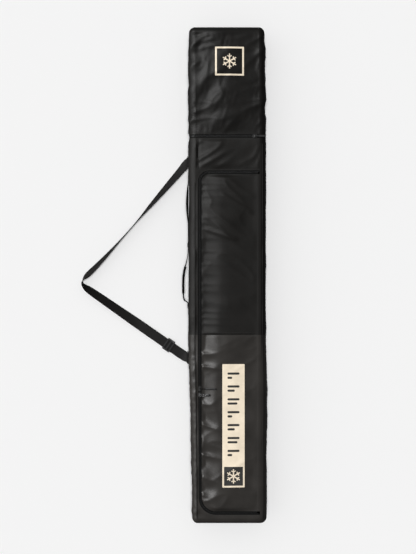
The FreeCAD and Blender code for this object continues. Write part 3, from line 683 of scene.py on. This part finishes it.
def end_cap(name, s_lines, y_end, material, seed, depth, stands_for, body, puff=0.0):
    """A closed end: a rounded shoulder, then rings that shrink to the middle."""
    s, middle = s_lines[:-1], HEIGHT / 2
    count, direction = len(s), math.copysign(1, y_end)
    outer, inner = [], []

    def ring(rows, inset, y, shrink=1.0, proud=0.0):
        x, z, nx, nz = section(s, inset)
        x, z = (x + nx * proud) * shrink, middle + (z + nz * proud - middle) * shrink
        rows.append(np.stack(shaped(x, y + 0 * x, z), 1))

    for a in np.linspace(0, math.pi / 2, 7):
        inset = R_END * (1 - math.cos(a))
        y = y_end - direction * R_END * (1 - math.sin(a))
        ring(outer, inset, y, proud=puff * math.cos(a) ** 2)
        ring(inner, max(depth, inset), direction * min(abs(y), abs(y_end) - depth),
             1.0 - 0.004 * (a > 0))
    x, z = section(s, R_END)[:2]
    for shrink in np.linspace(1, 0.02, 16)[1:]:
        relief = 2.0 * folds(x * shrink, z * shrink, seed, 0.09, 0.03, 0.4) - 1.5 * (1 - shrink)
        ring(outer, R_END, y_end + direction * relief * MM * smooth((1 - shrink) / 0.25), shrink)
        ring(inner, R_END, y_end - direction * depth, shrink)
    n, total = len(outer), len(outer) * count
    outside = tube_faces(n, count) + [tuple(range(total - count, total))]
    inside = [tuple(i + total for i in f[::-1]) for f in outside]
    rim = [((k + 1) % count, k, k + total, (k + 1) % count + total) for k in range(count)]
    faces = [f[::int(direction)] for f in outside + inside + rim]
    uv = np.stack([np.tile(s, n), np.repeat(np.arange(n) * CELL, count)], 1)
    slots = [0] * len(outside) + [1] * len(inside) + [0] * count
    obj = piece(name, np.concatenate(outer + inner), faces, np.tile(uv, (2, 1)),
                (material, LINING), body, stands_for, slots)


def build_flap():
    x_lines = lines(X_ZIP + CLOTH_EDGE, X_FLAP_RIGHT, cell=FLAP_CELL)
    y_lines = lines(Y_ZIP_BOTTOM + CLOTH_EDGE, Y_SEAM, Y_ZIP_TOP - CLOTH_EDGE, cell=FLAP_CELL)
    y, x, faces, fy, fx = grid(y_lines, x_lines)
    keep = outline_distance(fx, fy) < -CLOTH_EDGE
    edge = mark_edges(faces, keep, len(x))
    sx, sy = snapped(x, y, -CLOTH_EDGE)
    x, y = np.where(edge, sx, x), np.where(edge, sy, y)
    outer = np.stack([x, y, HEIGHT + flap_relief(x, y)], 1)
    inner = np.stack([x, y, HEIGHT - WALL + 0 * x], 1)
    from_hem = -outline_distance(x, y) - CLOTH_EDGE
    by_hinge = smooth((x - X_FLAP_RIGHT + 30 * MM) / (20 * MM))
    pinned = (from_hem < 1e-4) | (x > X_FLAP_RIGHT - 1e-4)
    rest = outer.copy()
    rest[:, 1] *= np.where(y < Y_SEAM, 1.02, 1.01)
    outer = settle(outer, faces[keep], rest, np.where(pinned, 1.0, 0.45 + 0.5 * by_hinge), 14,
                   4 * MM)
    upper = fy > Y_SEAM
    for name, where, material, nodes in (
            ("flap_upper_cloth", upper, PADDED, ("flap_upper_panel", "flap_foam", "flap_lining")),
            ("flap_lower_cloth", ~upper, COATED, ("flap_lower_panel",))):
        panel = wall(name, outer, inner, faces[keep & where], np.stack([x, y], 1), "flap",
                     material, LINING, nodes)
    return outer, faces[keep]


def build_hood():
    s_lines = lines(-S_SIDE, 0, S_SIDE, S_ZIP_END, S_FRONT, S_FRONT_END, S_BACK)
    y_top = Y_HIGH - R_END
    y, s, faces, fy, fs = grid(lines(Y_HOOD + CLOTH_EDGE, Y_HOOD + STRIP, y_top), s_lines)
    keep = ~((fs > S_ZIP_END) & (fs < S_FRONT) & (fy < Y_HOOD + STRIP))
    free = (calm(s) * smooth((y - Y_HOOD - CLOTH_EDGE) / (15 * MM))
            * smooth((y_top - y) / (15 * MM)))
    outer = skin(s, y, out=hood_relief(s, y) * free + hood_puff(s, y))
    rest = outer * [1.015, 1, 1]
    rest[:, 1] = Y_HOOD + (y - Y_HOOD) * 1.03
    outer = settle(outer, faces[keep], rest, np.where(free < 0.01, 1.0, 0.4), 16, 6 * MM)
    _, _, nx, nz = section(s)
    inner = outer - np.stack([nx, 0 * nx, nz], 1) * HOOD_CLOTH
    uv = np.stack([s, y], 1)
    for side, where, node in (("front", on_front(fs), "hood_front"),
                              ("back", fs < S_SIDE, "hood_back"),
                              ("right", (fs > S_SIDE) & (fs < S_FRONT), "hood_right_gusset"),
                              ("left", fs > S_FRONT_END, "hood_left_gusset")):
        panel = wall(f"hood_{side}_cloth", outer, inner, faces[keep & where], uv, "hood", HOOD,
                     HOOD, (node,))
    return s_lines, outer, faces[keep]


def build_hinge_strip():
    """The uncut side cloth that the hood swings on."""
    y, s, faces, _, _ = grid(lines(Y_HOOD - STRIP, Y_HOOD + STRIP, cell=4 * MM),
                             lines(S_ZIP_END, S_FRONT))
    outer = skin(s, y, out=body_relief(s, y) * body_free(s, y))
    _, _, nx, nz = section(s)
    inner = outer - np.stack([nx, 0 * nx, nz], 1) * HOOD_CLOTH
    obj = wall("hood_hinge_cloth", outer, inner, faces, np.stack([s, y], 1), None, HOOD, HOOD)
    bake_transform(obj)


# ---- zippers ----
TOOTH_PITCH = 2.7 * MM
TAPE_IN, TAPE_OUT = 2.6 * MM, 11.0 * MM
TAPE_SHAPE = [(TAPE_IN, -0.5 * MM), (TAPE_OUT, -0.5 * MM), (TAPE_OUT, 0.5 * MM),
              (TAPE_IN, 0.5 * MM)]
COIL_HALF = 1.55 * MM
STITCH_PITCH, STITCH_LENGTH, STITCH_LIFT = 4.2 * MM, 2.7 * MM, 0.1 * MM


def main_zip_line(step, right):
    """Points and outward normals along the C-shaped zipper, from its top right end."""
    up_x, up_y = X_ZIP + R_ZIP_TOP, Y_ZIP_TOP - R_ZIP_TOP
    low_x, low_y = X_ZIP + R_ZIP_BOTTOM, Y_ZIP_BOTTOM + R_ZIP_BOTTOM
    centres, normals = [], []

    def straight(a, b, normal):
        for t in np.linspace(0, 1, max(2, int(math.dist(a, b) / step)), endpoint=False):
            centres.append((a[0] + (b[0] - a[0]) * t, a[1] + (b[1] - a[1]) * t, 0))
            normals.append((*normal, 0))

    def turn(cx, cy, r, start):
        for t in np.linspace(0, 1, max(4, int(r * math.pi / 2 / step)), endpoint=False):
            c, w = math.cos(start + t * math.pi / 2), math.sin(start + t * math.pi / 2)
            centres.append((cx + r * c, cy + r * w, 0))
            normals.append((c, w, 0))

    straight((right, Y_ZIP_TOP), (up_x, Y_ZIP_TOP), (0, 1))
    turn(up_x, up_y, R_ZIP_TOP, math.pi / 2)
    straight((X_ZIP, up_y), (X_ZIP, low_y), (-1, 0))
    turn(low_x, low_y, R_ZIP_BOTTOM, math.pi)
    straight((low_x, Y_ZIP_BOTTOM), (right, Y_ZIP_BOTTOM), (0, -1))
    return np.array(centres), np.array(normals)


def teeth(name, centres, across, up, side, body, node):
    """One row of coil: rounded loops that reach just past the zipper's middle."""
    across, up = (np.broadcast_to(a, centres.shape)[:-1] for a in (across, up))
    phase = 0.5 if side > 0 else 0.0
    mid = centres[:-1] + np.diff(centres, axis=0) * phase + across * side * COIL_HALF
    axes = np.stack([across, np.cross(up, across), up], 1)
    copies(name, pebble(2.0 * MM, 0.95 * MM, 1.35 * MM, 3, 8), mid, axes, COIL, body, (node,))


def stitches(name, centres, along, body):
    """A row of short raised stitches, each along the seam."""
    along = np.broadcast_to(along, centres.shape)
    axes = np.stack([along, np.cross(UP, along), np.broadcast_to(UP, along.shape)], 1)
    unit = pebble(STITCH_LENGTH / 2, 0.42 * MM, 0.3 * MM, 2, 6)
    copies(name, unit, centres, axes, THREAD, body)


def build_main_zipper():
    for half, body, side, right in (("flap", "flap", -1, X_FLAP_RIGHT - 4 * MM),
                                    ("frame", "shell", 1, X_FLAT - 1 * MM)):
        centres, normals = main_zip_line(TOOTH_PITCH, right)
        teeth("main_zipper_coil_" + half, centres + UP * (Z_TAPE + COIL_HALF), normals, UP, side,
              body, "main_zip_coil_" + half)
        sweep("main_zipper_tape_" + half, centres + UP * (Z_TAPE + 0.5 * MM), normals * side, UP,
              TAPE_SHAPE, TAPE, body, stands_for=("main_zip_tape_" + half,))
        seam, normals = main_zip_line(STITCH_PITCH, right)
        place = seam + normals * side * (CLOTH_EDGE + 2.6 * MM) + UP * (HEIGHT + STITCH_LIFT)
        stitches("main_zipper_stitching_" + half, place, np.cross(UP, normals), body)


def height_at(tree, x, y):
    """Height of the cloth at a point seen from above."""
    hit = tree.ray_cast(Vector((x, y, 0.3)), Vector((0, 0, -1)), 0.4)[0]
    return hit.z if hit else HEIGHT


def stitch_seam(tree):
    """Stitching that holds the padded cloth's hem down over the coated cloth."""
    for k, off in enumerate((3.5 * MM, 9 * MM)):
        y = Y_SEAM + off
        centres = [(x, y, height_at(tree, x, y) + STITCH_LIFT)
                   for x in np.arange(X_ZIP + CLOTH_EDGE + 3 * MM, X_FLAP_RIGHT, STITCH_PITCH)]
        stitches(f"fabric_seam_stitching_{k}", np.array(centres), (1.0, 0, 0), "flap")


def build_hood_zipper():
    s = np.arange(S_FRONT, S_TOTAL + S_ZIP_END, TOOTH_PITCH)
    _, _, nx, nz = section(s)
    out = np.stack([nx, 0 * nx, nz], 1)
    for half, body, side in (("body", "shell", -1), ("hood", "hood", 1)):
        teeth("hood_zipper_coil_" + half, skin(s, Y_HOOD, inset=1.15 * MM), ALONG, out, side, body,
              "hood_zip_coil_" + half)
        sweep("hood_zipper_tape_" + half, skin(s, Y_HOOD, inset=2.0 * MM), ALONG * side, out,
              TAPE_SHAPE, TAPE, body, stands_for=("hood_zip_tape_" + half,))


def finish_cad():
    """Gives the hard CAD parts and the hidden straps their materials."""
    for material, nodes in (
            (METAL, ("main_slider_upper", "main_slider_lower", "hood_slider", "hood_pull",
                     "strap_ring_upper", "strap_ring_lower")),
            (PLASTIC, ("strap_buckle", "inner_tie_buckles")),
            (CAD_WEBBING, ("strap_return_layer", "strap_end_folds", "strap_anchor_upper",
                           "strap_anchor_lower", "inner_tie_straps"))):
        for node in nodes:
            for place in frame["nodes"][node].material_slots:
                place.material = material


def pull_frame(joint, node):
    """A pull's bar, its length, and the directions along it and out of its face."""
    bar = np.array(JOINTS[joint]["pos_m"])
    c, s = math.cos(PULL_TILT), math.sin(PULL_TILT)
    return bar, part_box(node)[1].x - bar[0], np.array([c, 0, s]), np.array([-s, 0, c])


def build_metal_pull():
    """A wire loop with a flat tab at its end."""
    bar, length, out, up = pull_frame("lower_pull_swing", "main_pull_lower")
    half, loop_end = 3.4 * MM, 0.58 * length
    turn = np.linspace(math.pi / 2, 3 * math.pi / 2, 9)
    plan = [(half * math.cos(a), half * math.sin(a)) for a in turn]
    plan += [(loop_end + half * math.cos(a), half * math.sin(a)) for a in turn + math.pi]
    away = unit_rows(np.array([(a - min(max(a, 0), loop_end), b) for a, b in plan]))
    sweep("lower_pull_loop", [bar + out * a + ALONG * b for a, b in plan],
          away[:, :1] * out + away[:, 1:] * ALONG, up, circle(0.9 * MM, 8), BRIGHT_METAL,
          "pull_lower", None, ("main_pull_lower",), closed=True)
    tab_half = (length - loop_end) / 2
    copies("lower_pull_tab", pebble(tab_half, 4.6 * MM, 1.1 * MM, 5, 16),
           [bar + out * (loop_end + tab_half)], [[out, ALONG, up]], METAL, "pull_lower")


def build_cord_pull():
    """A cord looped through the slider's bar, with a moulded end."""
    bar, length, out, up = pull_frame("upper_pull_swing", "main_pull_upper")
    bend = [bar + (out * math.cos(t) + up * math.sin(t)) * 2.9 * MM
            for t in np.radians(np.linspace(-300, -60, 13))]
    legs = ((24, 1.0), (17, 1.1), (9, 1.3))       # mm out, and half of the gap between the legs
    line = curve_through([bar + (out * d + up * h) * MM for d, h in legs] + bend
                         + [bar + (out * d - up * h) * MM for d, h in legs[::-1]], 1.2 * MM)
    tangent = unit_rows(np.gradient(line, axis=0))
    sweep("upper_pull_cord", line, ALONG, np.cross(tangent, ALONG), circle(1.15 * MM, 8), WEBBING,
          "pull_upper", "pull_cord", ("main_pull_upper",))
    t = np.linspace(0, 1, 26)
    width = 3.3 * MM * (0.78 + 0.22 * np.sin(math.pi * np.clip(t * 1.1, 0, 1)))
    width *= np.where(t > 0.93, np.sqrt(np.clip(1 - ((t - 0.93) / 0.075) ** 2, 0.05, 1)), 1)
    width *= 1 - 0.10 * (np.sin(t * 60) > 0.3) * (t > 0.25) * (t < 0.8)
    centres = bar + np.outer(19 * MM + (length - 19 * MM) * t, out)
    sweep("upper_pull_grip", centres, np.outer(width, ALONG), np.outer(width, up) * 0.62,
          circle(1.0, 12), RUBBER, "pull_upper")


# ---- labels ----
LABEL_BORDER = 6.5 * MM
CRYSTAL_ARM = 4.6 * MM     # thickness of an arm


def draped(name, tree, parts, lift, thick, material, body, stands_for=()):
    """Thin film laid on the cloth: each part is (points x, points y, faces)."""
    points, faces, count = [], [], 0
    for x, y, f in parts:
        z = [height_at(tree, px, py) + lift for px, py in zip(x, y)]
        top, n = np.stack([x, y, z], 1), len(x)
        points += [top, top - [0, 0, thick]]
        faces += [tuple(q + count) for q in f] + [tuple(q[::-1] + n + count) for q in f]
        faces += [(b + count, a + count, a + n + count, b + n + count) for a, b in open_edges(f)]
        count += 2 * n
    points = np.concatenate(points)
    piece(name, points, faces, points[:, :2], (material,), body, stands_for)


def placed_patch(cx, cy, half_x, half_y, radius=0.01 * MM, angle=0.0, cell=3 * MM):
    """Grid of a flat patch with rounded corners, turned and put in its place."""
    nx, ny = max(2, round(2 * half_x / cell)), max(2, round(2 * half_y / cell))
    x, y = (a.ravel() for a in np.meshgrid(np.linspace(-half_x, half_x, nx + 1),
                                           np.linspace(-half_y, half_y, ny + 1)))
    over_x, over_y = np.abs(x) - half_x + radius, np.abs(y) - half_y + radius
    far = np.hypot(np.maximum(over_x, 0), np.maximum(over_y, 0))
    round_off = (over_x > 0) & (over_y > 0) & (far > radius)
    pull = np.where(round_off, 1 - radius / np.maximum(far, 1e-9), 0)
    x, y = x - np.sign(x) * over_x * pull, y - np.sign(y) * over_y * pull
    c, s = math.cos(angle), math.sin(angle)
    return x * c - y * s + cx, x * s + y * c + cy, grid_faces(ny + 1, nx + 1)


def snow_crystal(cx, cy, arm, thick, cell=2 * MM):
    """Six arms with a small pair of side twigs on each."""
    parts = []

    def rod(x, y, angle, half, across, radius):
        """Adds a rod that runs out from a point at an angle."""
        parts.append(placed_patch(x + math.cos(angle) * half, y + math.sin(angle) * half, half,
                                  across, radius, angle, cell))

    for a in math.pi / 6 + np.arange(6) * math.pi / 3:
        rod(cx, cy, a, arm / 2, thick / 2, thick * 0.4)
        for turn in (-1, 1):
            rod(cx + math.cos(a) * arm * 0.58, cy + math.sin(a) * arm * 0.58,
                a + turn * math.pi / 3, arm * 0.17, thick * 0.4, thick * 0.3)
    return parts


def square_outline(cx, cy, half, line):
    middle = half - line / 2
    return [placed_patch(cx + sx * middle, cy + sy * middle, half if sy else line / 2,
                         line / 2 if sy else half - line)
            for sx, sy in ((0, 1), (0, -1), (1, 0), (-1, 0))]


def build_labels(flap_tree, hood_tree):
    lo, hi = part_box("front_label")
    cx, cy = (lo.x + hi.x) / 2 - 4.4 * MM, (lo.y + hi.y) / 2
    half_x, half_y = (hi.x - lo.x) / 2 - 3 * MM, (hi.y - lo.y) / 2
    draped("front_label_film", flap_tree, [placed_patch(cx, cy, half_x, half_y, 1.5 * MM)],
           0.9 * MM, 0.7 * MM, CREAM, "flap", ("front_label",))
    square = half_x - LABEL_BORDER
    square_y = lo.y + LABEL_BORDER + square
    dark = [placed_patch(cx, square_y, square, square, 1.0 * MM)]
    wide = 23 * MM
    rows = np.linspace(hi.y - 45 * MM, square_y + square + 52 * MM, 7)
    for k, y in enumerate(rows):
        narrow = (9 + 5 * (k % 3)) * MM
        dark.append(placed_patch(cx, y + 9 * MM, wide, 4.2 * MM, 4 * MM))
        dark.append(placed_patch(cx - wide + narrow, y - 7 * MM, narrow, 4.2 * MM, 4 * MM))
    draped("front_label_print", flap_tree, dark, 1.25 * MM, 0.5 * MM, DARK_PRINT, "flap")
    draped("front_label_crystal", flap_tree, snow_crystal(cx, square_y, 28 * MM, CRYSTAL_ARM),
           1.6 * MM, 0.5 * MM, CREAM, "flap")
    lo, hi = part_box("hood_emblem")
    cx, cy, half = (lo.x + hi.x) / 2, (lo.y + hi.y) / 2, (hi.x - lo.x) / 2
    emblem = square_outline(cx, cy, half, LABEL_BORDER)
    emblem += snow_crystal(cx, cy, 29 * MM, CRYSTAL_ARM)
    draped("hood_emblem_print", hood_tree, emblem, 0.7 * MM, 0.8 * MM, CREAM, "hood",
           ("hood_emblem",))


# ---- webbing ----
STRAP_W = 38 * MM
STRAP_T = 1.8 * MM
RUN_X, RUN_Y = (-148.0, -568.0), (-330.0, -38.0)     # the straight lower run, mm
LIFT = 5.2


def run_point(x):
    share = (x - RUN_X[0]) / (RUN_X[1] - RUN_X[0])
    return x, RUN_Y[0] + share * (RUN_Y[1] - RUN_Y[0])


# Middle line of the shoulder strap from the upper ring to the lower one, in mm: X, Y,
# the webbing's lean (0 on its edge, 90 flat) and how far its edge is off the floor.
STRAP_ROUTE = [
    (-172.0, 419.5, -56.0, 6.0), (-196.0, 391.5, -48.0, 1.5), (-232.0, 350.0, -40.0, 0.3),
    (-290.0, 283.0, -26.0, 0.3), (-353.0, 210.0, -7.0, 0.3), (-417.0, 137.0, -9.0, 0.3),
    (-473.0, 75.0, -22.0, 0.3), (-517.0, 29.0, -33.0, 0.3), (-546.0, 1.0, -34.0, 0.3),
    (-562.0, -16.0, -12.0, 0.3), (-566.0, -29.0, 4.0, 0.3), (-558.0, -42.0, 22.0, 0.3),
    (-538.0, -58.8, 44.0, 0.3), (-490.0, -92.2, 54.0, 0.3), (-430.0, -133.9, 62.0, 0.3),
    (-370.0, -175.7, 74.0, 2.0), (*run_point(-312.0), 84.0, LIFT),
    (*run_point(-186.0), 84.0, LIFT),
]


# Middle line of the side handle from its upper tab to its lower one, in mm: X and Y.
HANDLE_ROUTE = [
    (-151.0, 118), (-151.8, 100), (-152.8, 80), (-156.0, 60), (-161.5, 38), (-166.5, 15),
    (-169.8, -8), (-170.6, -35), (-170.2, -65), (-169.0, -86), (-165.0, -97), (-157.5, -102),
    (-152.5, -108), (-150.8, -122),
]


def strap_frames():
    """Centre and width direction of the strap at each point of its route, in metres."""
    ends = []
    for node in ("strap_ring_upper", "strap_ring_lower"):
        lo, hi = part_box(node)
        ends.append((lo.x + 0.5 * MM, (lo.y + hi.y) / 2, lo.z - 1.2 * MM))
    plan = [ends[0]] + [(x * MM, y * MM, 0) for x, y, _, _ in STRAP_ROUTE] + [ends[1]]
    centres, wides = [ends[0]], [(0, -1, 0)]
    for i, (x, y, lean, lift) in enumerate(STRAP_ROUTE, 1):
        dx, dy = plan[i + 1][0] - plan[i - 1][0], plan[i + 1][1] - plan[i - 1][1]
        size = math.hypot(dx, dy)
        dx, dy, lean = dx / size, dy / size, math.radians(lean)
        wide = (dy * math.sin(lean), -dx * math.sin(lean), math.cos(lean))
        height = STRAP_W / 2 * abs(wide[2]) + STRAP_T / 2 * abs(math.sin(lean)) + lift * MM
        centres.append((x * MM, y * MM, height))
        wides.append(wide)
    return np.array(centres + [ends[1]]), np.array(wides + [(0, -1, 0)])


def build_strap():
    centres, wides = strap_frames()
    fine = curve_through(np.concatenate([centres, wides * 0.05], 1), 3.5 * MM)
    line, wide = fine[:, :3], unit_rows(fine[:, 3:])
    up = unit_rows(np.cross(unit_rows(np.gradient(line, axis=0)), wide))
    up *= np.where(up[:, 2:] < 0, -1, 1)
    strap = sweep("shoulder_strap", line, wide, up, band(STRAP_W, STRAP_T), WEBBING, "strap",
                  stands_for=("shoulder_strap_webbing",))


def leaning(angle):
    """Directions across and out of webbing that leans on the bag's left side."""
    c, s, zero = np.cos(angle), np.sin(angle), 0 * angle
    return np.stack([-s, zero, c], 1), np.stack([-c, zero, -s], 1)


def left_face(y, out):
    """X of the bag's left side at Y, and a distance out from it."""
    return -HALF_W - side_swell(y)[0] - out


def build_side_webbing():
    lo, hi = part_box("side_webbing")
    z, width = (lo.z + hi.z) / 2, hi.z - lo.z
    tack_top, tack_low = 0.356, 0.198      # the webbing bows out between these two
    y = np.arange(lo.y, hi.y, 4 * MM)
    bow = np.sin(math.pi * np.clip((tack_top - y) / (tack_top - tack_low), 0, 1))
    centres = np.stack([left_face(y, 1.6 * MM) - 4.0 * MM * bow, y, z + 0 * y], 1)
    sweep("side_webbing_strip", centres, *leaning(math.radians(16) * bow), band(width, 2 * MM),
          WEBBING, "shell", stands_for=("side_webbing",))
    places = [(left_face(ty, 2.7 * MM), ty + dy, z + dz)
              for ty in (tack_top + 5 * MM, tack_low - 5 * MM, lo.y + 7 * MM)
              for dz in np.linspace(-width * 0.42, width * 0.42, 9) for dy in (-1.2 * MM, 1.2 * MM)]
    copies("webbing_tack_stitches", pebble(1.4 * MM, 0.8 * MM, 0.45 * MM, 2, 6), places,
           [(UP, ALONG, OUT_LEFT)] * len(places), THREAD, "shell",
           ("webbing_bar_tacks",))
    return z, width


def build_handle(z, width):
    """Webbing handle, rolled narrow in its grip; its ends stay flat against the side."""
    line = curve_through([(x * MM, y * MM, z) for x, y in HANDLE_ROUTE], 3 * MM)
    y = line[:, 1]
    side, _ = leaning(math.radians(14) * smooth((-0.150 - line[:, 0]) / (16 * MM)))
    up = unit_rows(np.cross(side, unit_rows(np.gradient(line, axis=0))))
    rolled = smooth((112 * MM - y) / (34 * MM)) * smooth((y + 116 * MM) / (34 * MM))
    narrowed = side * (1 - 0.52 * rolled)[:, None]

    def part(name, where, body, *stands_for):
        return sweep(name, line[where], narrowed[where], up[where], band(width, 2.2 * MM), WEBBING,
                     body, None, stands_for)

    grip_top, grip_low = 38 * MM, -74 * MM
    part("grab_handle_webbing", (y < grip_top + 3 * MM) & (y > grip_low - 3 * MM), "handle",
         "grab_handle")
    for name, where, start, end in (
            ("grab_handle_end_upper", y > grip_top, 108 * MM, grip_top + 4 * MM),
            ("grab_handle_end_lower", y < grip_low, -112 * MM, grip_low - 4 * MM)):
        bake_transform(part(name, where, None))
    grip = (y < 34 * MM) & (y > -72 * MM)
    sleeve = sweep("grab_handle_sleeve", line[grip], side[grip], up[grip],
                   band(16 * MM, 7.5 * MM, 0.6), PADDED, "handle", "webbing")
    for name, y0, y1, nodes in (("upper", 108 * MM, 124 * MM, ("handle_tabs",)),
                                ("lower", -128 * MM, -106 * MM, ())):
        ys = np.linspace(y0, y1, 8)
        sweep("handle_tab_" + name, np.stack([left_face(ys, 3.4 * MM), ys, z + 0 * ys], 1), UP,
              OUT_LEFT, band(width + 3 * MM, 1.6 * MM), WEBBING, "shell", stands_for=nodes)


# ---- seams ----
def build_piping():
    """Covered cords in the seams between the bag's front and its sides."""
    for name, s, y0, y1, material, proud in (
            ("piping_right", S_FRONT - 11.4 * MM, Y_BASE, Y_HOOD - STRIP - 2 * MM, WEBBING, 0.8),
            ("piping_left", S_FRONT_END + 1.5 * MM, Y_BASE, Y_ZIP_TOP - R_ZIP_TOP, PADDED, 0.6),
            ("piping_top_left", S_FRONT_END - 10 * MM, Y_ZIP_TOP + CLOTH_EDGE + 6 * MM,
             Y_HOOD - CLOTH_EDGE, WEBBING, -0.6)):
        y = np.arange(y0, y1, 7 * MM)
        s = np.full(len(y), s)
        lift = body_relief(s, y) * body_free(s, y)
        if name == "piping_top_left":
            lift = lift * near_zip(s, y)
        line = skin(s, y, out=lift + proud * MM)
        tangent = unit_rows(np.gradient(line, axis=0))
        side = unit_rows(np.cross(tangent, UP))
        sweep(name, line, side, np.cross(side, tangent), circle(1.7 * MM, 8), material, "shell",
              "webbing")


def build_flap_hinge():
    """The strip of cloth that the flap turns on."""
    x_lines = lines(X_HINGE - 9 * MM, X_HINGE + 7 * MM, cell=1.6 * MM)
    for name, material, y0, y1 in (
            ("flap_hinge_upper", PADDED, Y_SEAM, Y_ZIP_TOP - CLOTH_EDGE),
            ("flap_hinge_lower", COATED, Y_ZIP_BOTTOM + CLOTH_EDGE, Y_SEAM)):
        y, x, faces, _, _ = grid(lines(y0, y1, cell=6 * MM), x_lines)
        bow = 0.5 * MM * (1 - ((x - X_HINGE + 1 * MM) / (8 * MM)) ** 2)
        slope = (X_HINGE - x) * 0.07
        top = np.stack([x, y, HEIGHT + 0.7 * MM + bow + slope], 1)
        strip = wall(name, top, top - UP * MM, faces, np.stack([x, y], 1), None, material, material)
        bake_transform(strip)


# ---- stage ----
VIEW_X, VIEW_Y = -0.075, -0.007     # the point under the camera
VIEW_LENGTH = 2.133                 # what the picture's long side takes in
VIEW_Z = 0.09
LENS, SENSOR = 85.0, 36.0


def build_stage():
    scene = bpy.context.scene
    cam = bpy.data.cameras.new("camera")
    cam.lens, cam.sensor_width = LENS, SENSOR
    obj = bpy.data.objects.new("camera", cam)
    scene.collection.objects.link(obj)
    obj.location = (VIEW_X, VIEW_Y, VIEW_Z + VIEW_LENGTH * LENS / SENSOR)
    cam.clip_end = 120
    scene.camera = obj

    floor_mat, tree, bsdf = nodes_of("floor_mat", (0.93, 0.93, 0.93), 0.9)
    bsdf.inputs["Specular IOR Level"].default_value = 0.1
    floor = add_mesh("floor", [(-40, -40, 0), (40, -40, 0), (40, 40, 0), (-40, 40, 0)],
                     [(0, 1, 2, 3)], None, (floor_mat,))
    floor.location.z = -0.3 * MM
    floor.visible_diffuse = floor.visible_glossy = False

    world = bpy.data.worlds.new("studio")
    scene.world = world
    world.use_nodes = True
    tree = world.node_tree
    tree.nodes["Background"].inputs["Color"].default_value = (1, 1, 1, 1)
    where = tree.nodes.new("ShaderNodeTexCoord")
    toward = tree.nodes.new("ShaderNodeVectorMath")
    toward.operation = "DOT_PRODUCT"
    toward.inputs[1].default_value = (-0.72, 0.35, 0.60)
    sky = tree.nodes.new("ShaderNodeMapRange")
    for socket, value in (("From Min", -0.2), ("From Max", 1.0), ("To Min", 0.12),
                          ("To Max", 0.42)):
        sky.inputs[socket].default_value = value
    link(tree, where, "Generated", toward, 0)
    link(tree, toward, "Value", sky, "Value")
    link(tree, sky, "Result", tree.nodes["Background"], "Strength")
    scene.view_settings.view_transform = "Standard"

    def sun(name, direction, strength, softness, floor_state):
        """A soft distant light that lights only the floor, or all but the floor."""
        light = bpy.data.lights.new(name, "SUN")
        light.energy, light.angle = strength, math.radians(softness)
        lamp = bpy.data.objects.new(name, light)
        lamp.rotation_euler = Vector(direction).to_track_quat("-Z", "Y").to_euler()
        scene.collection.objects.link(lamp)
        receivers = bpy.data.collections.new(name + "_receivers")
        receivers.objects.link(floor)
        lamp.light_linking.receiver_collection = receivers
        receivers.collection_objects[0].light_linking.link_state = floor_state

    sun("key_light", (1.0, -0.60, -1.60), 2.6, 24, "EXCLUDE")
    sun("side_light", (1.0, -0.15, -0.50), 1.15, 45, "EXCLUDE")
    sun("floor_light", (0.0, 0.0, -1.0), 2.20, 12, "INCLUDE")


build_stage()
body_lines = build_body()
end_cap("base_cap_cloth", body_lines, Y_LOW, COATED, 51, WALL, ("base_cap", "base_foam"), "shell")
flap_points, flap_faces = build_flap()
hood_lines, hood_points, hood_faces = build_hood()
end_cap("hood_end_cloth", hood_lines, Y_HIGH, HOOD, 52, HOOD_CLOTH, ("hood_end_cap",), "hood",
        puff=hood_puff(hood_lines[:-1], Y_HIGH - R_END))
build_hinge_strip()
build_flap_hinge()
build_piping()
build_main_zipper()
build_hood_zipper()
build_cord_pull()
build_metal_pull()
finish_cad()
flap_tree, hood_tree = (BVHTree.FromPolygons([tuple(p) for p in points], [tuple(f) for f in faces])
                        for points, faces in ((flap_points, flap_faces), (hood_points, hood_faces)))
stitch_seam(flap_tree)
build_labels(flap_tree, hood_tree)
build_strap()
build_handle(*build_side_webbing())
